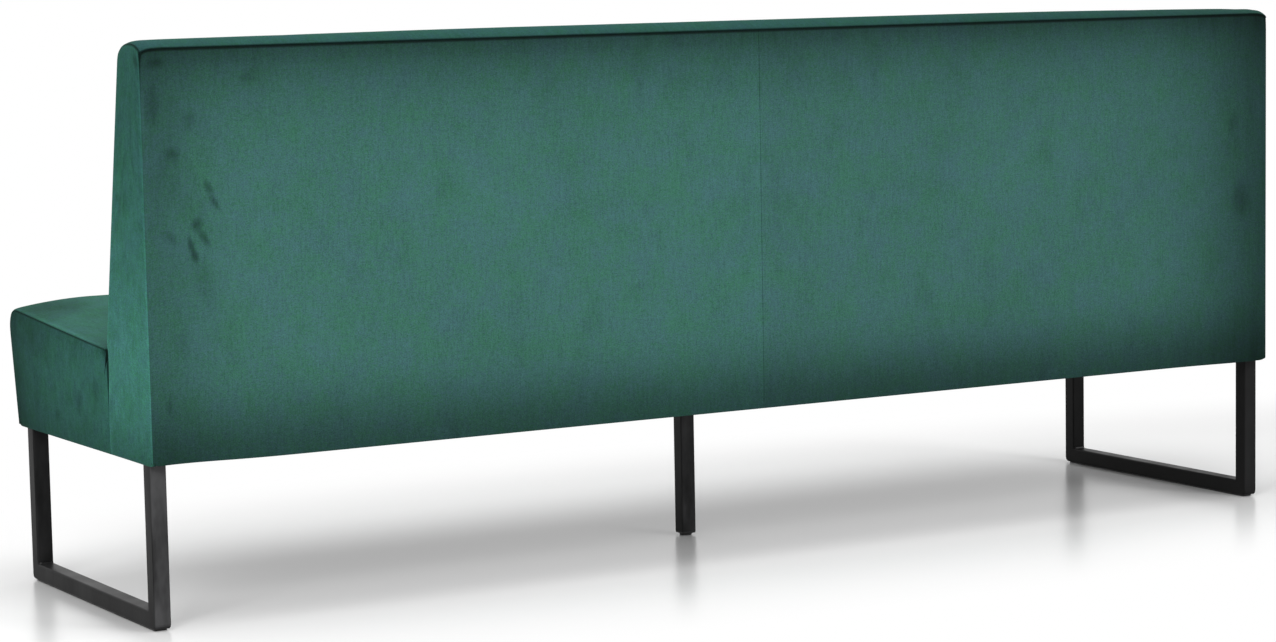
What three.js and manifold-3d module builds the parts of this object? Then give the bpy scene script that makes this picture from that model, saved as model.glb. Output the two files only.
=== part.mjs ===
import * as THREE from 'three';
import { mergeVertices } from 'three/addons/utils/BufferGeometryUtils.js';
import Module from 'manifold-3d';

// Millimetres, +Z up. The bench faces -Y, and its rear face looks along +Y.
// Places are written as a distance forward of the rear face and a height above the floor.

// Bench as a whole
const benchLength = 2400;
const hemHeight = 282;
const hemDrop = 8;
const seatFit = 0.3;
const coverWall = 3;
const profileSteps = 7;
const apronStep = 2;
const cutOverrun = 4;

// Back
const rearSeamHeight = 977;
const backTopThickness = 93;
const backSeatThickness = 192;
const rearCrown = 2;
const stripCrown = 15;
const stripEndCrown = 8;
const backFrontCrown = 7;
const sideCrown = 2;
const panelRoll = 25;
const stripEndRound = 45;
const backTuck = 60;
const backFoamThickness = 40;
const topPadThickness = 6;

// Seat
const seatRearHeight = 462;
const seatFrontHeight = 501;
const seatFrontDepth = 681;
const hemSetback = 45;
const seatNoseRadius = 34;
const seatCrown = 9;
const seatEndSwell = 220;
const seatFoamThickness = 70;

// Timber and boards
const railThickness = 22;
const formerThickness = 18;
const flatRailThickness = 18;
const liningThickness = 3;
const frontBoardThickness = 4;
const deckThickness = 12;
const backSeatRailHeight = 90;
const legBoardWidth = 120;
const legBoardThickness = 22;
const deckVentRadius = 20;
const deckVentPitch = 300;
const deckVentCount = 6;
const dustCoverThickness = 1;
const dustCoverMargin = 12;

// Sled legs and middle leg
const tubeSize = 30;
const tubeWall = 2;
const tubeCornerRadius = 3;
const sledRearSetback = 25;
const sledFrontSetback = 15;
const barThickness = 6;
const barWidth = 30;
const glideStripThickness = 2.5;
const glideStripWidth = 22;
const glideStripEndGap = 12;
const legSetOff = 20;
const legMiddleDepth = 322;
const legPlateLength = 90;
const legPlateWidth = 90;
const legPlateScrewSpacing = 66;
const legScrewLength = 25;

// Levelling glide of the middle leg
const insertFlangeThickness = 2.5;
const insertFlangeInset = 0.5;
const insertDepth = 22;
const insertClearance = 0.3;
const studRadius = 4;
const studLength = 34;
const studClearance = 0.3;
const studChamfer = 1;
const padRadius = 12;
const padHeight = 4.5;
const padEdgeRadius = 1.5;
const padTopRadius = 8;
const padSocketDepth = 3;

// Screws
const screwRadius = 2.5;
const screwHeadRadius = 5;
const screwHeadHeight = 2.5;
const screwLength = 40;
const screwPointLength = 5;
const screwClearance = 0.3;
const barScrewInset = 12;
const sledScrewInsets = { rear: 65, front: 81 };
const coachRadius = 4;
const coachHeadRadius = 7;
const coachHeadHeight = 5;
const coachLength = 42;
const coachHeight = 345;
const coachStationShares = { inner: 0.22, outer: 0.8 };
const roundSides = 16;
const hexSides = 6;
const arcSteps = 3;
const shortestEdge = 0.03;

// Levels and lines worked out from the sizes above
const hemDepth = seatFrontDepth - hemSetback;
const sledFrontDepth = hemDepth - sledFrontSetback;
const sledScrewDepths = {
  rear: sledRearSetback + sledScrewInsets.rear,
  front: sledFrontDepth - sledScrewInsets.front,
};
const frameBottom = hemHeight + hemDrop;
const seamX = benchLength / 2 - sideCrown;
const insideX = seamX - coverWall - seatFit;
const dustBottom = frameBottom - seatFit - dustCoverThickness;
const barTop = dustBottom - seatFit;
const barBottom = barTop - barThickness;
const uprightTop = barBottom - seatFit;
const runnerBottom = glideStripThickness + seatFit;
const formerBottom = frameBottom + flatRailThickness + seatFit;
const topRailTop = rearSeamHeight - coverWall - seatFit - topPadThickness - seatFit;
const topRailBottom = topRailTop - flatRailThickness;
const formerTop = topRailBottom - seatFit;
const liningFront = coverWall + seatFit + liningThickness;
const formerRear = liningFront + seatFit;
const seatUnitRear = backSeatThickness + seatFit;
const backSeatRailFront = backSeatThickness;
const backSeatRailRear = backSeatRailFront - railThickness;
const backSeatRailTop = formerBottom + backSeatRailHeight;
const backTuckHeight = seatRearHeight - backTuck;
const stripHeight = rearSeamHeight + coverWall + seatFit;
const seatRailFront = hemDepth - coverWall - seatFit;

const wasm = await Module();
wasm.setup();

const bench = new THREE.Group();

const velvet = { color: 0x2f6a5c, roughness: 0.85, metalness: 0 };
const timber = { color: 0xc9a676, roughness: 0.7, metalness: 0 };
const plywood = { color: 0xd6b988, roughness: 0.65, metalness: 0 };
const foam = { color: 0xe6dcae, roughness: 0.95, metalness: 0 };
const blackSteel = { color: 0x1b1b1c, roughness: 0.45, metalness: 0.4 };
const blackPlastic = { color: 0x121212, roughness: 0.5, metalness: 0 };
const zincSteel = { color: 0xa9abad, roughness: 0.35, metalness: 0.9 };
const dustCloth = { color: 0x191919, roughness: 0.95, metalness: 0 };

function addPiece(name, geometry, look) {
  const mesh = new THREE.Mesh(geometry, new THREE.MeshStandardMaterial(look));
  mesh.name = name;
  bench.add(mesh);
  return mesh;
}

// Profiles: points and outward normals, as distance forward and height

function roundedCorner(before, corner, after, radius) {
  const toBefore = before.clone().sub(corner).normalize();
  const toAfter = after.clone().sub(corner).normalize();
  const halfAngle = Math.acos(toBefore.dot(toAfter)) / 2;
  const tangent = radius / Math.tan(halfAngle);
  const middle = toBefore.clone().add(toAfter).normalize();
  const centre = corner.clone().addScaledVector(middle, radius / Math.sin(halfAngle));
  const start = corner.clone().addScaledVector(toBefore, tangent).sub(centre);
  const end = corner.clone().addScaledVector(toAfter, tangent).sub(centre);
  const sweep = start.angleTo(end);
  const points = [];
  for (let step = 0; step <= profileSteps; step += 1) {
    const share = step / profileSteps;
    const ray = start.clone().multiplyScalar(Math.sin((1 - share) * sweep) / Math.sin(sweep));
    ray.addScaledVector(end, Math.sin(share * sweep) / Math.sin(sweep));
    points.push(ray.add(centre));
  }
  return points;
}

function straightRun(from, to, steps) {
  const points = [];
  for (let step = 0; step <= steps; step += 1) {
    points.push(from.clone().lerp(to, step / steps));
  }
  return points;
}

function makeSkin(points, outward, crown) {
  const kept = points.filter((point, index) => index === 0 || point.distanceTo(points[index - 1]) > seatFit);
  const runs = [0];
  for (let index = 1; index < kept.length; index += 1) {
    runs.push(runs[index - 1] + kept[index].distanceTo(kept[index - 1]));
  }
  const whole = runs[runs.length - 1];
  const normals = kept.map((point, index) => {
    const along = kept[Math.min(index + 1, kept.length - 1)].clone().sub(kept[Math.max(index - 1, 0)]);
    return new THREE.Vector2(-along.y, along.x).normalize().multiplyScalar(outward);
  });
  const swells = runs.map((run) => Math.sin(Math.PI * run / whole));
  return { points: kept, normals, swells, crown };
}

function skinAt(skin, lengthSwell, below) {
  return skin.points.map((point, index) => {
    const rise = skin.crown * skin.swells[index] * lengthSwell;
    return point.clone().addScaledVector(skin.normals[index], rise - below);
  });
}

function easeIn(distance, length) {
  const share = Math.min(distance / length, 1);
  return 1 - (1 - share) * (1 - share);
}

const seatSwell = (x) => easeIn(seamX - Math.abs(x), seatEndSwell);
const stripEndSwell = stripEndCrown / stripCrown;
const stripSwell = (x) => {
  return stripEndSwell + (1 - stripEndSwell) * easeIn(seamX - Math.abs(x), stripEndRound);
};
const backSwell = (x) => easeIn(seamX - Math.abs(x), seatEndSwell);
const rearSwell = (x) => easeIn(seamX - Math.abs(x), panelRoll);

const hemFront = new THREE.Vector2(hemDepth, hemHeight);
const noseCorner = new THREE.Vector2(seatFrontDepth, seatFrontHeight);
const seatRearEdge = new THREE.Vector2(seatUnitRear, seatRearHeight);
const nose = roundedCorner(hemFront, noseCorner, seatRearEdge, seatNoseRadius);
const seatSkin = makeSkin(
  [...straightRun(hemFront, nose[0], profileSteps), ...nose,
    ...straightRun(nose[nose.length - 1], seatRearEdge, profileSteps)],
  -1, seatCrown);

const stripRear = new THREE.Vector2(0, stripHeight);
const stripFront = new THREE.Vector2(backTopThickness, stripHeight);
const stripSkin = makeSkin(straightRun(stripRear, stripFront, profileSteps), 1, stripCrown);

const backFrontTop = new THREE.Vector2(backTopThickness, rearSeamHeight);
const backFrontSeat = new THREE.Vector2(backSeatThickness, seatRearHeight);
const backFrontTuck = new THREE.Vector2(backSeatThickness, backTuckHeight);
const backFrontSlope = (backFrontSeat.x - backFrontTop.x) / (backFrontTop.y - backFrontSeat.y);
const backFrontAt = (height) => backFrontTop.x + (backFrontTop.y - height) * backFrontSlope;
const backFrontSkin = makeSkin(
  [...straightRun(backFrontTop, backFrontSeat, profileSteps), backFrontTuck], 1, backFrontCrown);
backFrontSkin.swells = backFrontSkin.points.map((point) => {
  const share = (backFrontTop.y - point.y) / (backFrontTop.y - backFrontSeat.y);
  return Math.sin(Math.PI * Math.min(share, 1));
});

const rearHem = new THREE.Vector2(0, hemHeight);
const rearTop = new THREE.Vector2(0, rearSeamHeight);
const rearSkin = makeSkin(straightRun(rearHem, rearTop, profileSteps), 1, rearCrown);
rearSkin.swells = rearSkin.points.map((point) => {
  return easeIn(Math.min(point.y - hemHeight, rearSeamHeight - point.y), panelRoll);
});

const forwardReach = Math.max(...skinAt(seatSkin, seatSwell(0), 0).map((point) => point.x));
const rearFaceY = (forwardReach - rearCrown) / 2;
const toWorld = (x, point) => new THREE.Vector3(x, rearFaceY - point.x, point.y);

// Builders of closed solids

function solidFromTriangles(corners) {
  const geometry = new THREE.BufferGeometry();
  let volume = 0;
  for (let index = 0; index < corners.length; index += 3) {
    const cross = corners[index + 1].clone().cross(corners[index + 2]);
    volume += corners[index].dot(cross);
  }
  if (volume < 0) {
    for (let index = 0; index < corners.length; index += 3) {
      [corners[index + 1], corners[index + 2]] = [corners[index + 2], corners[index + 1]];
    }
  }
  geometry.setFromPoints(corners);
  const merged = mergeVertices(geometry);
  merged.computeVertexNormals();
  return merged;
}

function pushQuad(corners, a, b, c, d) {
  corners.push(a.clone(), b.clone(), c.clone());
  corners.push(a.clone(), c.clone(), d.clone());
}

// A sheet between an outer and an inner grid of points, closed along its four edges
function sheetSolid(outer, inner) {
  const rows = outer.length;
  const columns = outer[0].length;
  const corners = [];
  for (let row = 0; row + 1 < rows; row += 1) {
    for (let column = 0; column + 1 < columns; column += 1) {
      pushQuad(corners, outer[row][column], outer[row + 1][column],
        outer[row + 1][column + 1], outer[row][column + 1]);
      pushQuad(corners, inner[row][column], inner[row][column + 1],
        inner[row + 1][column + 1], inner[row + 1][column]);
    }
  }
  for (let row = 0; row + 1 < rows; row += 1) {
    const last = columns - 1;
    pushQuad(corners, outer[row + 1][0], outer[row][0], inner[row][0], inner[row + 1][0]);
    pushQuad(corners, outer[row][last], outer[row + 1][last], inner[row + 1][last], inner[row][last]);
  }
  for (let column = 0; column + 1 < columns; column += 1) {
    const last = rows - 1;
    pushQuad(corners, outer[0][column], outer[0][column + 1], inner[0][column + 1], inner[0][column]);
    pushQuad(corners, outer[last][column + 1], outer[last][column],
      inner[last][column], inner[last][column + 1]);
  }
  return solidFromTriangles(corners);
}

// A solid whose section, a closed outline, changes along the length
function loftSolid(stations, sectionAt) {
  const rings = stations.map((x) => sectionAt(x));
  const corners = [];
  for (let station = 0; station + 1 < stations.length; station += 1) {
    for (let index = 0; index < rings[station].length; index += 1) {
      const next = (index + 1) % rings[station].length;
      pushQuad(corners,
        toWorld(stations[station], rings[station][index]),
        toWorld(stations[station], rings[station][next]),
        toWorld(stations[station + 1], rings[station + 1][next]),
        toWorld(stations[station + 1], rings[station + 1][index]));
    }
  }
  const ends = [[0, false], [stations.length - 1, true]];
  for (const [station, turned] of ends) {
    const faces = THREE.ShapeUtils.triangulateShape(rings[station], []);
    const turn = THREE.ShapeUtils.isClockWise(rings[station]) !== turned;
    for (const face of faces) {
      const [a, b, c] = face.map((index) => toWorld(stations[station], rings[station][index]));
      if (turn) corners.push(a, b, c);
      else corners.push(a, c, b);
    }
  }
  return solidFromTriangles(corners);
}

// A straight board or bar with a constant section
function extrudeAlongLength(points, fromX, toX) {
  const shape = new THREE.Shape(points.map((point) => new THREE.Vector2(rearFaceY - point.x, point.y)));
  const geometry = new THREE.ExtrudeGeometry(shape, { depth: toX - fromX, bevelEnabled: false });
  const turn = new THREE.Matrix4().makeBasis(
    new THREE.Vector3(0, 1, 0), new THREE.Vector3(0, 0, 1), new THREE.Vector3(1, 0, 0));
  geometry.applyMatrix4(turn);
  geometry.translate(fromX, 0, 0);
  return geometry;
}

function rectangle(rear, front, low, high) {
  return [new THREE.Vector2(rear, low), new THREE.Vector2(front, low),
    new THREE.Vector2(front, high), new THREE.Vector2(rear, high)];
}

function board(fromX, toX, rear, front, low, high) {
  return extrudeAlongLength(rectangle(rear, front, low, high), fromX, toX);
}

// Cutting and joining of closed solids

function toManifold(geometry) {
  const bare = new THREE.BufferGeometry();
  bare.setAttribute('position', geometry.getAttribute('position').clone());
  if (geometry.index) bare.setIndex(geometry.index.clone());
  const merged = mergeVertices(bare);
  const mesh = new wasm.Mesh({
    numProp: 3,
    vertProperties: new Float32Array(merged.getAttribute('position').array),
    triVerts: new Uint32Array(merged.index.array),
  });
  return new wasm.Manifold(mesh);
}

function fromManifold(solid) {
  const mesh = solid.getMesh();
  const geometry = new THREE.BufferGeometry();
  geometry.setAttribute('position', new THREE.BufferAttribute(new Float32Array(mesh.vertProperties), 3));
  geometry.setIndex(new THREE.BufferAttribute(new Uint32Array(mesh.triVerts), 1));
  geometry.computeVertexNormals();
  return geometry;
}

function cutFrom(geometry, tools) {
  let solid = toManifold(geometry);
  for (const tool of tools) {
    solid = solid.subtract(toManifold(tool));
  }
  return fromManifold(solid);
}

function joinSolids(first, second) {
  return fromManifold(toManifold(first).add(toManifold(second)));
}

function uprightCylinder(radius, x, depth, low, high) {
  const geometry = new THREE.CylinderGeometry(radius, radius, high - low, roundSides);
  geometry.rotateX(Math.PI / 2);
  geometry.translate(x, rearFaceY - depth, (low + high) / 2);
  return geometry;
}

function levelCylinder(radius, x, height, rear, front) {
  const geometry = new THREE.CylinderGeometry(radius, radius, front - rear, roundSides);
  geometry.translate(x, rearFaceY - (rear + front) / 2, height);
  return geometry;
}

// Stations along the length, closer together where an end is rounded
function halfStations(endLength, side) {
  const endShares = [1, 0.6, 0.32, 0.14];
  const inner = seatFit / 2;
  const outer = insideX;
  const roundStart = outer - endLength;
  const distances = [inner, (inner + roundStart) / 2];
  for (const share of endShares) {
    distances.push(outer - endLength * share);
  }
  distances.push(outer);
  return side > 0 ? distances : distances.map((distance) => -distance).reverse();
}

function wholeStations(endLength) {
  return [...halfStations(endLength, -1), ...halfStations(endLength, 1)];
}

// Covers

function coverFromSkin(skin, stations, swellAt) {
  const outer = stations.map((x) => skinAt(skin, swellAt(x), 0).map((point) => toWorld(x, point)));
  const inner = stations.map((x) => skinAt(skin, swellAt(x), coverWall).map((point) => toWorld(x, point)));
  return sheetSolid(outer, inner);
}

// A flat panel at an end of the bench, spanned between four edge lines and swollen outwards
function endPanel(low, high, rear, front, side) {
  const rows = rear.length;
  const columns = low.length;
  const outer = [];
  const inner = [];
  for (let row = 0; row < rows; row += 1) {
    const v = row / (rows - 1);
    const outerRow = [];
    const innerRow = [];
    for (let column = 0; column < columns; column += 1) {
      const u = column / (columns - 1);
      const point = low[column].clone().multiplyScalar(1 - v).addScaledVector(high[column], v);
      point.addScaledVector(rear[row], 1 - u).addScaledVector(front[row], u);
      point.addScaledVector(low[0], -(1 - u) * (1 - v)).addScaledVector(low[columns - 1], -u * (1 - v));
      point.addScaledVector(high[0], -(1 - u) * v).addScaledVector(high[columns - 1], -u * v);
      const rise = sideCrown * Math.sin(Math.PI * u) * Math.sin(Math.PI * v);
      outerRow.push(toWorld(side * (seamX + rise), point));
      innerRow.push(toWorld(side * (seamX + rise - coverWall), point));
    }
    outer.push(outerRow);
    inner.push(innerRow);
  }
  return sheetSolid(outer, inner);
}

function addCovers() {
  for (const [side, end] of [[1, 'near'], [-1, 'far']]) {
    addPiece(`seat_cover_${end}`,
      coverFromSkin(seatSkin, halfStations(seatEndSwell, side), seatSwell), velvet);
    addPiece(`back_rear_panel_${end}`,
      coverFromSkin(rearSkin, halfStations(panelRoll, side), rearSwell), velvet);
    addPiece(`back_front_cover_${end}`,
      coverFromSkin(backFrontSkin, halfStations(seatEndSwell, side), backSwell), velvet);

    const noseMiddle = Math.floor(profileSteps / 2);
    const seatOutline = skinAt(seatSkin, 0, 0);
    const turnIndex = seatOutline.findIndex((point) => point.distanceTo(nose[noseMiddle]) < seatFit);
    const frontEdge = seatOutline.slice(0, turnIndex + 1);
    const topEdge = seatOutline.slice(turnIndex).reverse();
    const seatRearHem = new THREE.Vector2(seatUnitRear, hemHeight);
    const seatLow = straightRun(seatRearHem, hemFront, topEdge.length - 1);
    const seatRear = straightRun(seatRearHem, seatRearEdge, frontEdge.length - 1);
    addPiece(`seat_end_panel_${end}`, endPanel(seatLow, topEdge, seatRear, frontEdge, side), velvet);

    const bandFrontHem = new THREE.Vector2(backSeatThickness, hemHeight);
    const bandFront = [...straightRun(bandFrontHem, backFrontSeat, 2),
      ...straightRun(backFrontSeat, stripFront, profileSteps).slice(1)];
    const bandRear = bandFront.map((point) => new THREE.Vector2(0, point.y));
    const bandLow = straightRun(rearHem, bandFrontHem, profileSteps);
    const bandHigh = skinAt(stripSkin, stripEndSwell, 0);
    addPiece(`back_side_band_${end}`, endPanel(bandLow, bandHigh, bandRear, bandFront, side), velvet);
  }
  addPiece('back_top_strip', coverFromSkin(stripSkin, wholeStations(stripEndRound), stripSwell), velvet);
}

// Foams

const foamClearance = coverWall + seatFit;
const seatSlope = (seatFrontHeight - seatRearHeight) / (seatFrontDepth - seatUnitRear);
const seatTopAt = (depth) => seatRearHeight + (depth - seatUnitRear) * seatSlope;
const deckTopAt = (depth) => seatTopAt(depth) - foamClearance - seatFoamThickness - seatFit;
const deckUnderAt = (depth) => deckTopAt(depth) - deckThickness;

function seatFoamSection(x) {
  const front = skinAt(seatSkin, seatSwell(x), foamClearance).slice(apronStep);
  const rear = seatUnitRear;
  const behindApron = seatRailFront + seatFit;
  front[0].y = seatSkin.points[apronStep].y;
  front[front.length - 1].x = rear;
  return [
    new THREE.Vector2(behindApron, front[0].y),
    ...front,
    new THREE.Vector2(rear, deckTopAt(rear) + seatFit),
    new THREE.Vector2(behindApron, deckTopAt(behindApron) + seatFit),
  ];
}

const foamRearAt = (height) => backFrontAt(height) - foamClearance - backFoamThickness;
const frontBoardRearAt = (height) => foamRearAt(height) - seatFit - frontBoardThickness;

function backFoamSection(x) {
  const lowest = foamClearance;
  const highest = backTopThickness - foamClearance;
  const top = skinAt(stripSkin, stripSwell(x), foamClearance);
  for (const point of top) {
    point.x = Math.min(Math.max(point.x, lowest), highest);
  }
  const front = skinAt(backFrontSkin, backSwell(x), foamClearance).slice(1);
  const overRail = topRailTop + seatFit;
  return [
    ...top,
    ...front,
    new THREE.Vector2(foamRearAt(backTuckHeight), backTuckHeight),
    new THREE.Vector2(foamRearAt(overRail), overRail),
    new THREE.Vector2(lowest, overRail),
  ];
}

function addFoams() {
  addPiece('seat_foam', loftSolid(wholeStations(seatEndSwell), seatFoamSection), foam);
  const stations = wholeStations(seatEndSwell);
  stations.push(stripEndRound - insideX, insideX - stripEndRound);
  stations.sort((a, b) => a - b);
  addPiece('back_foam', loftSolid(stations, backFoamSection), foam);
}

// Screws and bolts

function screwProfile(length, clearance, overrun) {
  const shank = screwRadius + clearance;
  const head = screwHeadRadius + clearance;
  const points = [[0, -overrun], [head, -overrun]];
  if (overrun > 0) points.push([head, 0]);
  points.push([shank, screwHeadHeight]);
  points.push([shank, length - screwPointLength]);
  points.push([0, length + clearance]);
  return points.map(([radius, along]) => new THREE.Vector2(radius, along));
}

function screwSolid(x, depth, length, clearance, overrun) {
  const geometry = new THREE.LatheGeometry(screwProfile(length, clearance, overrun), roundSides);
  geometry.rotateX(Math.PI / 2);
  geometry.translate(x, rearFaceY - depth, barBottom + seatFit);
  return geometry;
}

const legX = -legSetOff;
const sledScrews = [];
for (const [side, end] of [[1, 'near'], [-1, 'far']]) {
  for (const [place, depth] of Object.entries(sledScrewDepths)) {
    const x = side * (insideX - barScrewInset);
    sledScrews.push({ name: `sled_screw_${end}_${place}`, x, depth, length: screwLength, side, place });
  }
}
const legScrews = [[1, 'near'], [-1, 'far']].map(([side, end]) => {
  const x = legX + side * legPlateScrewSpacing / 2;
  return { name: `leg_screw_${end}`, x, depth: legMiddleDepth, length: legScrewLength };
});
const screwHole = (screw) => screwSolid(screw.x, screw.depth, screw.length, screwClearance, cutOverrun);

const coachStations = [];
for (const [side, end] of [[1, 'near'], [-1, 'far']]) {
  for (const [place, share] of Object.entries(coachStationShares)) {
    coachStations.push({ name: `coach_screw_${end}_${place}`, x: side * share * insideX });
  }
}
const coachHeadRear = seatUnitRear + railThickness + seatFit;
const coachTip = coachHeadRear - coachLength;
const coachHole = (coach) => {
  return levelCylinder(coachRadius + screwClearance, coach.x, coachHeight, coachTip - seatFit,
    coachHeadRear + cutOverrun);
};

function addScrews() {
  for (const screw of [...sledScrews, ...legScrews]) {
    addPiece(screw.name, screwSolid(screw.x, screw.depth, screw.length, 0, 0), zincSteel);
  }
  for (const coach of coachStations) {
    const head = new THREE.CylinderGeometry(coachHeadRadius, coachHeadRadius, coachHeadHeight, hexSides);
    head.translate(coach.x, rearFaceY - coachHeadRear - coachHeadHeight / 2, coachHeight);
    const shank = levelCylinder(coachRadius, coach.x, coachHeight, coachTip,
      coachHeadRear + coachHeadHeight / 2);
    addPiece(coach.name, joinSolids(head, shank), zincSteel);
  }
}

// Timber frames

const betweenRailsRear = seatUnitRear + railThickness + seatFit;
const betweenRailsFront = seatRailFront - railThickness - seatFit;

function slopedRail(fromX, toX, rear, front, low) {
  const outline = [
    new THREE.Vector2(rear, low),
    new THREE.Vector2(front, low),
    new THREE.Vector2(front, deckUnderAt(front) - seatFit),
    new THREE.Vector2(rear, deckUnderAt(rear) - seatFit),
  ];
  return extrudeAlongLength(outline, fromX, toX);
}

function addSeatFrame() {
  addPiece('seat_front_rail',
    slopedRail(-insideX, insideX, seatRailFront - railThickness, seatRailFront, frameBottom), timber);
  const rearRail = slopedRail(-insideX, insideX, seatUnitRear, seatUnitRear + railThickness, frameBottom);
  addPiece('seat_rear_rail', cutFrom(rearRail, coachStations.map(coachHole)), timber);
  for (const [side, end] of [[1, 'near'], [-1, 'far']]) {
    const edges = [side * insideX, side * (insideX - railThickness)].sort((a, b) => a - b);
    const rail = slopedRail(edges[0], edges[1], betweenRailsRear, betweenRailsFront, frameBottom);
    const screws = sledScrews.filter((screw) => screw.side === side && screw.place === 'front');
    addPiece(`seat_end_rail_${end}`, cutFrom(rail, screws.map(screwHole)), timber);
    const crossX = side * insideX / 2;
    addPiece(`seat_cross_rail_${end}`,
      slopedRail(crossX - railThickness / 2, crossX + railThickness / 2, betweenRailsRear,
        betweenRailsFront, frameBottom), timber);
  }
  addPiece('seat_cross_rail_middle',
    slopedRail(legX - railThickness / 2, legX + railThickness / 2, betweenRailsRear, betweenRailsFront,
      frameBottom + legBoardThickness + seatFit), timber);
  const legBoard = board(legX - legBoardWidth / 2, legX + legBoardWidth / 2, betweenRailsRear,
    betweenRailsFront, frameBottom, frameBottom + legBoardThickness);
  addPiece('seat_leg_board', cutFrom(legBoard, legScrews.map(screwHole)), timber);

  const deck = extrudeAlongLength([
    new THREE.Vector2(seatUnitRear, deckUnderAt(seatUnitRear)),
    new THREE.Vector2(seatRailFront, deckUnderAt(seatRailFront)),
    new THREE.Vector2(seatRailFront, deckTopAt(seatRailFront)),
    new THREE.Vector2(seatUnitRear, deckTopAt(seatUnitRear)),
  ], -insideX, insideX);
  const ventDepth = (seatUnitRear + seatRailFront) / 2;
  const vents = [];
  for (let index = 0; index < deckVentCount; index += 1) {
    const x = (index - (deckVentCount - 1) / 2) * deckVentPitch;
    vents.push(uprightCylinder(deckVentRadius, x, ventDepth,
      deckUnderAt(ventDepth) - deckThickness, deckTopAt(ventDepth) + deckThickness));
  }
  addPiece('seat_deck', cutFrom(deck, vents), plywood);
}

function addBackFrame() {
  const lowerFront = backSeatRailRear - seatFit;
  const formerFrontAt = (height) => frontBoardRearAt(height) - seatFit;
  const outline = [
    new THREE.Vector2(formerRear, formerBottom),
    new THREE.Vector2(lowerFront, formerBottom),
    new THREE.Vector2(lowerFront, backSeatRailTop),
    new THREE.Vector2(formerFrontAt(backTuckHeight), backTuckHeight),
    new THREE.Vector2(formerFrontAt(formerTop), formerTop),
    new THREE.Vector2(formerRear, formerTop),
  ];
  const formerNames = ['far_end', 'far', 'middle', 'near', 'near_end'];
  const innerReach = insideX - formerThickness;
  formerNames.forEach((name, index) => {
    const fromX = -insideX + index * (innerReach + insideX) / (formerNames.length - 1);
    const former = extrudeAlongLength(outline, fromX, fromX + formerThickness);
    const screws = sledScrews.filter((screw) => screw.place === 'rear');
    const isEnd = index === 0 || index === formerNames.length - 1;
    addPiece(`back_former_${name}`, isEnd ? cutFrom(former, screws.map(screwHole)) : former, plywood);
  });

  addPiece('back_top_rail',
    board(-insideX, insideX, formerRear, frontBoardRearAt(topRailTop) - seatFit, topRailBottom, topRailTop),
    timber);
  const bottomRail = board(-insideX, insideX, formerRear, backSeatRailFront, frameBottom,
    frameBottom + flatRailThickness);
  const rearScrews = sledScrews.filter((screw) => screw.place === 'rear');
  addPiece('back_bottom_rail', cutFrom(bottomRail, rearScrews.map(screwHole)), timber);
  const seatRail = board(-insideX, insideX, backSeatRailRear, backSeatRailFront,
    formerBottom, backSeatRailTop);
  addPiece('back_seat_rail', cutFrom(seatRail, coachStations.map(coachHole)), timber);
  addPiece('back_rear_lining',
    board(-insideX, insideX, coverWall + seatFit, liningFront, frameBottom, topRailTop), plywood);
  addPiece('back_front_board', extrudeAlongLength([
    new THREE.Vector2(frontBoardRearAt(backTuckHeight), backTuckHeight),
    new THREE.Vector2(foamRearAt(backTuckHeight) - seatFit, backTuckHeight),
    new THREE.Vector2(foamRearAt(topRailTop) - seatFit, topRailTop),
    new THREE.Vector2(frontBoardRearAt(topRailTop), topRailTop),
  ], -insideX, insideX), plywood);
}

function addDustCover() {
  const edge = insideX - dustCoverMargin;
  const sheet = board(-edge, edge, dustCoverMargin, seatRailFront - dustCoverMargin, dustBottom,
    dustBottom + dustCoverThickness);
  addPiece('dust_cover', cutFrom(sheet, [...sledScrews, ...legScrews].map(screwHole)), dustCloth);
}

// Legs

function roundedSquare(size, radius) {
  const half = size / 2;
  const reach = half - radius;
  const outline = new THREE.Path();
  outline.absarc(reach, reach, radius, 0, Math.PI / 2);
  outline.absarc(-reach, reach, radius, Math.PI / 2, Math.PI);
  outline.absarc(-reach, -reach, radius, Math.PI, Math.PI * 3 / 2);
  outline.absarc(reach, -reach, radius, Math.PI * 3 / 2, Math.PI * 2);
  return outline;
}

function outlinePoints(path) {
  const points = path.getPoints(arcSteps);
  return points.filter((point, index) => {
    return index === 0 || point.distanceTo(points[index - 1]) > shortestEdge;
  });
}

// A square tube along +Z whose end faces are cut back by the given slopes across its depth
function squareTube(length, startSlope, endSlope) {
  const shape = new THREE.Shape(outlinePoints(roundedSquare(tubeSize, tubeCornerRadius)));
  shape.holes.push(new THREE.Path(
    outlinePoints(roundedSquare(tubeSize - 2 * tubeWall, tubeCornerRadius - tubeWall))));
  const geometry = new THREE.ExtrudeGeometry(shape, { depth: length, bevelEnabled: false });
  const places = geometry.getAttribute('position');
  for (let index = 0; index < places.count; index += 1) {
    const across = places.getY(index);
    if (places.getZ(index) < length / 2) {
      if (startSlope !== 0) places.setZ(index, startSlope * across + tubeSize / 2);
    } else if (endSlope !== 0) {
      places.setZ(index, length + endSlope * across - tubeSize / 2);
    }
  }
  return geometry;
}

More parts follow.
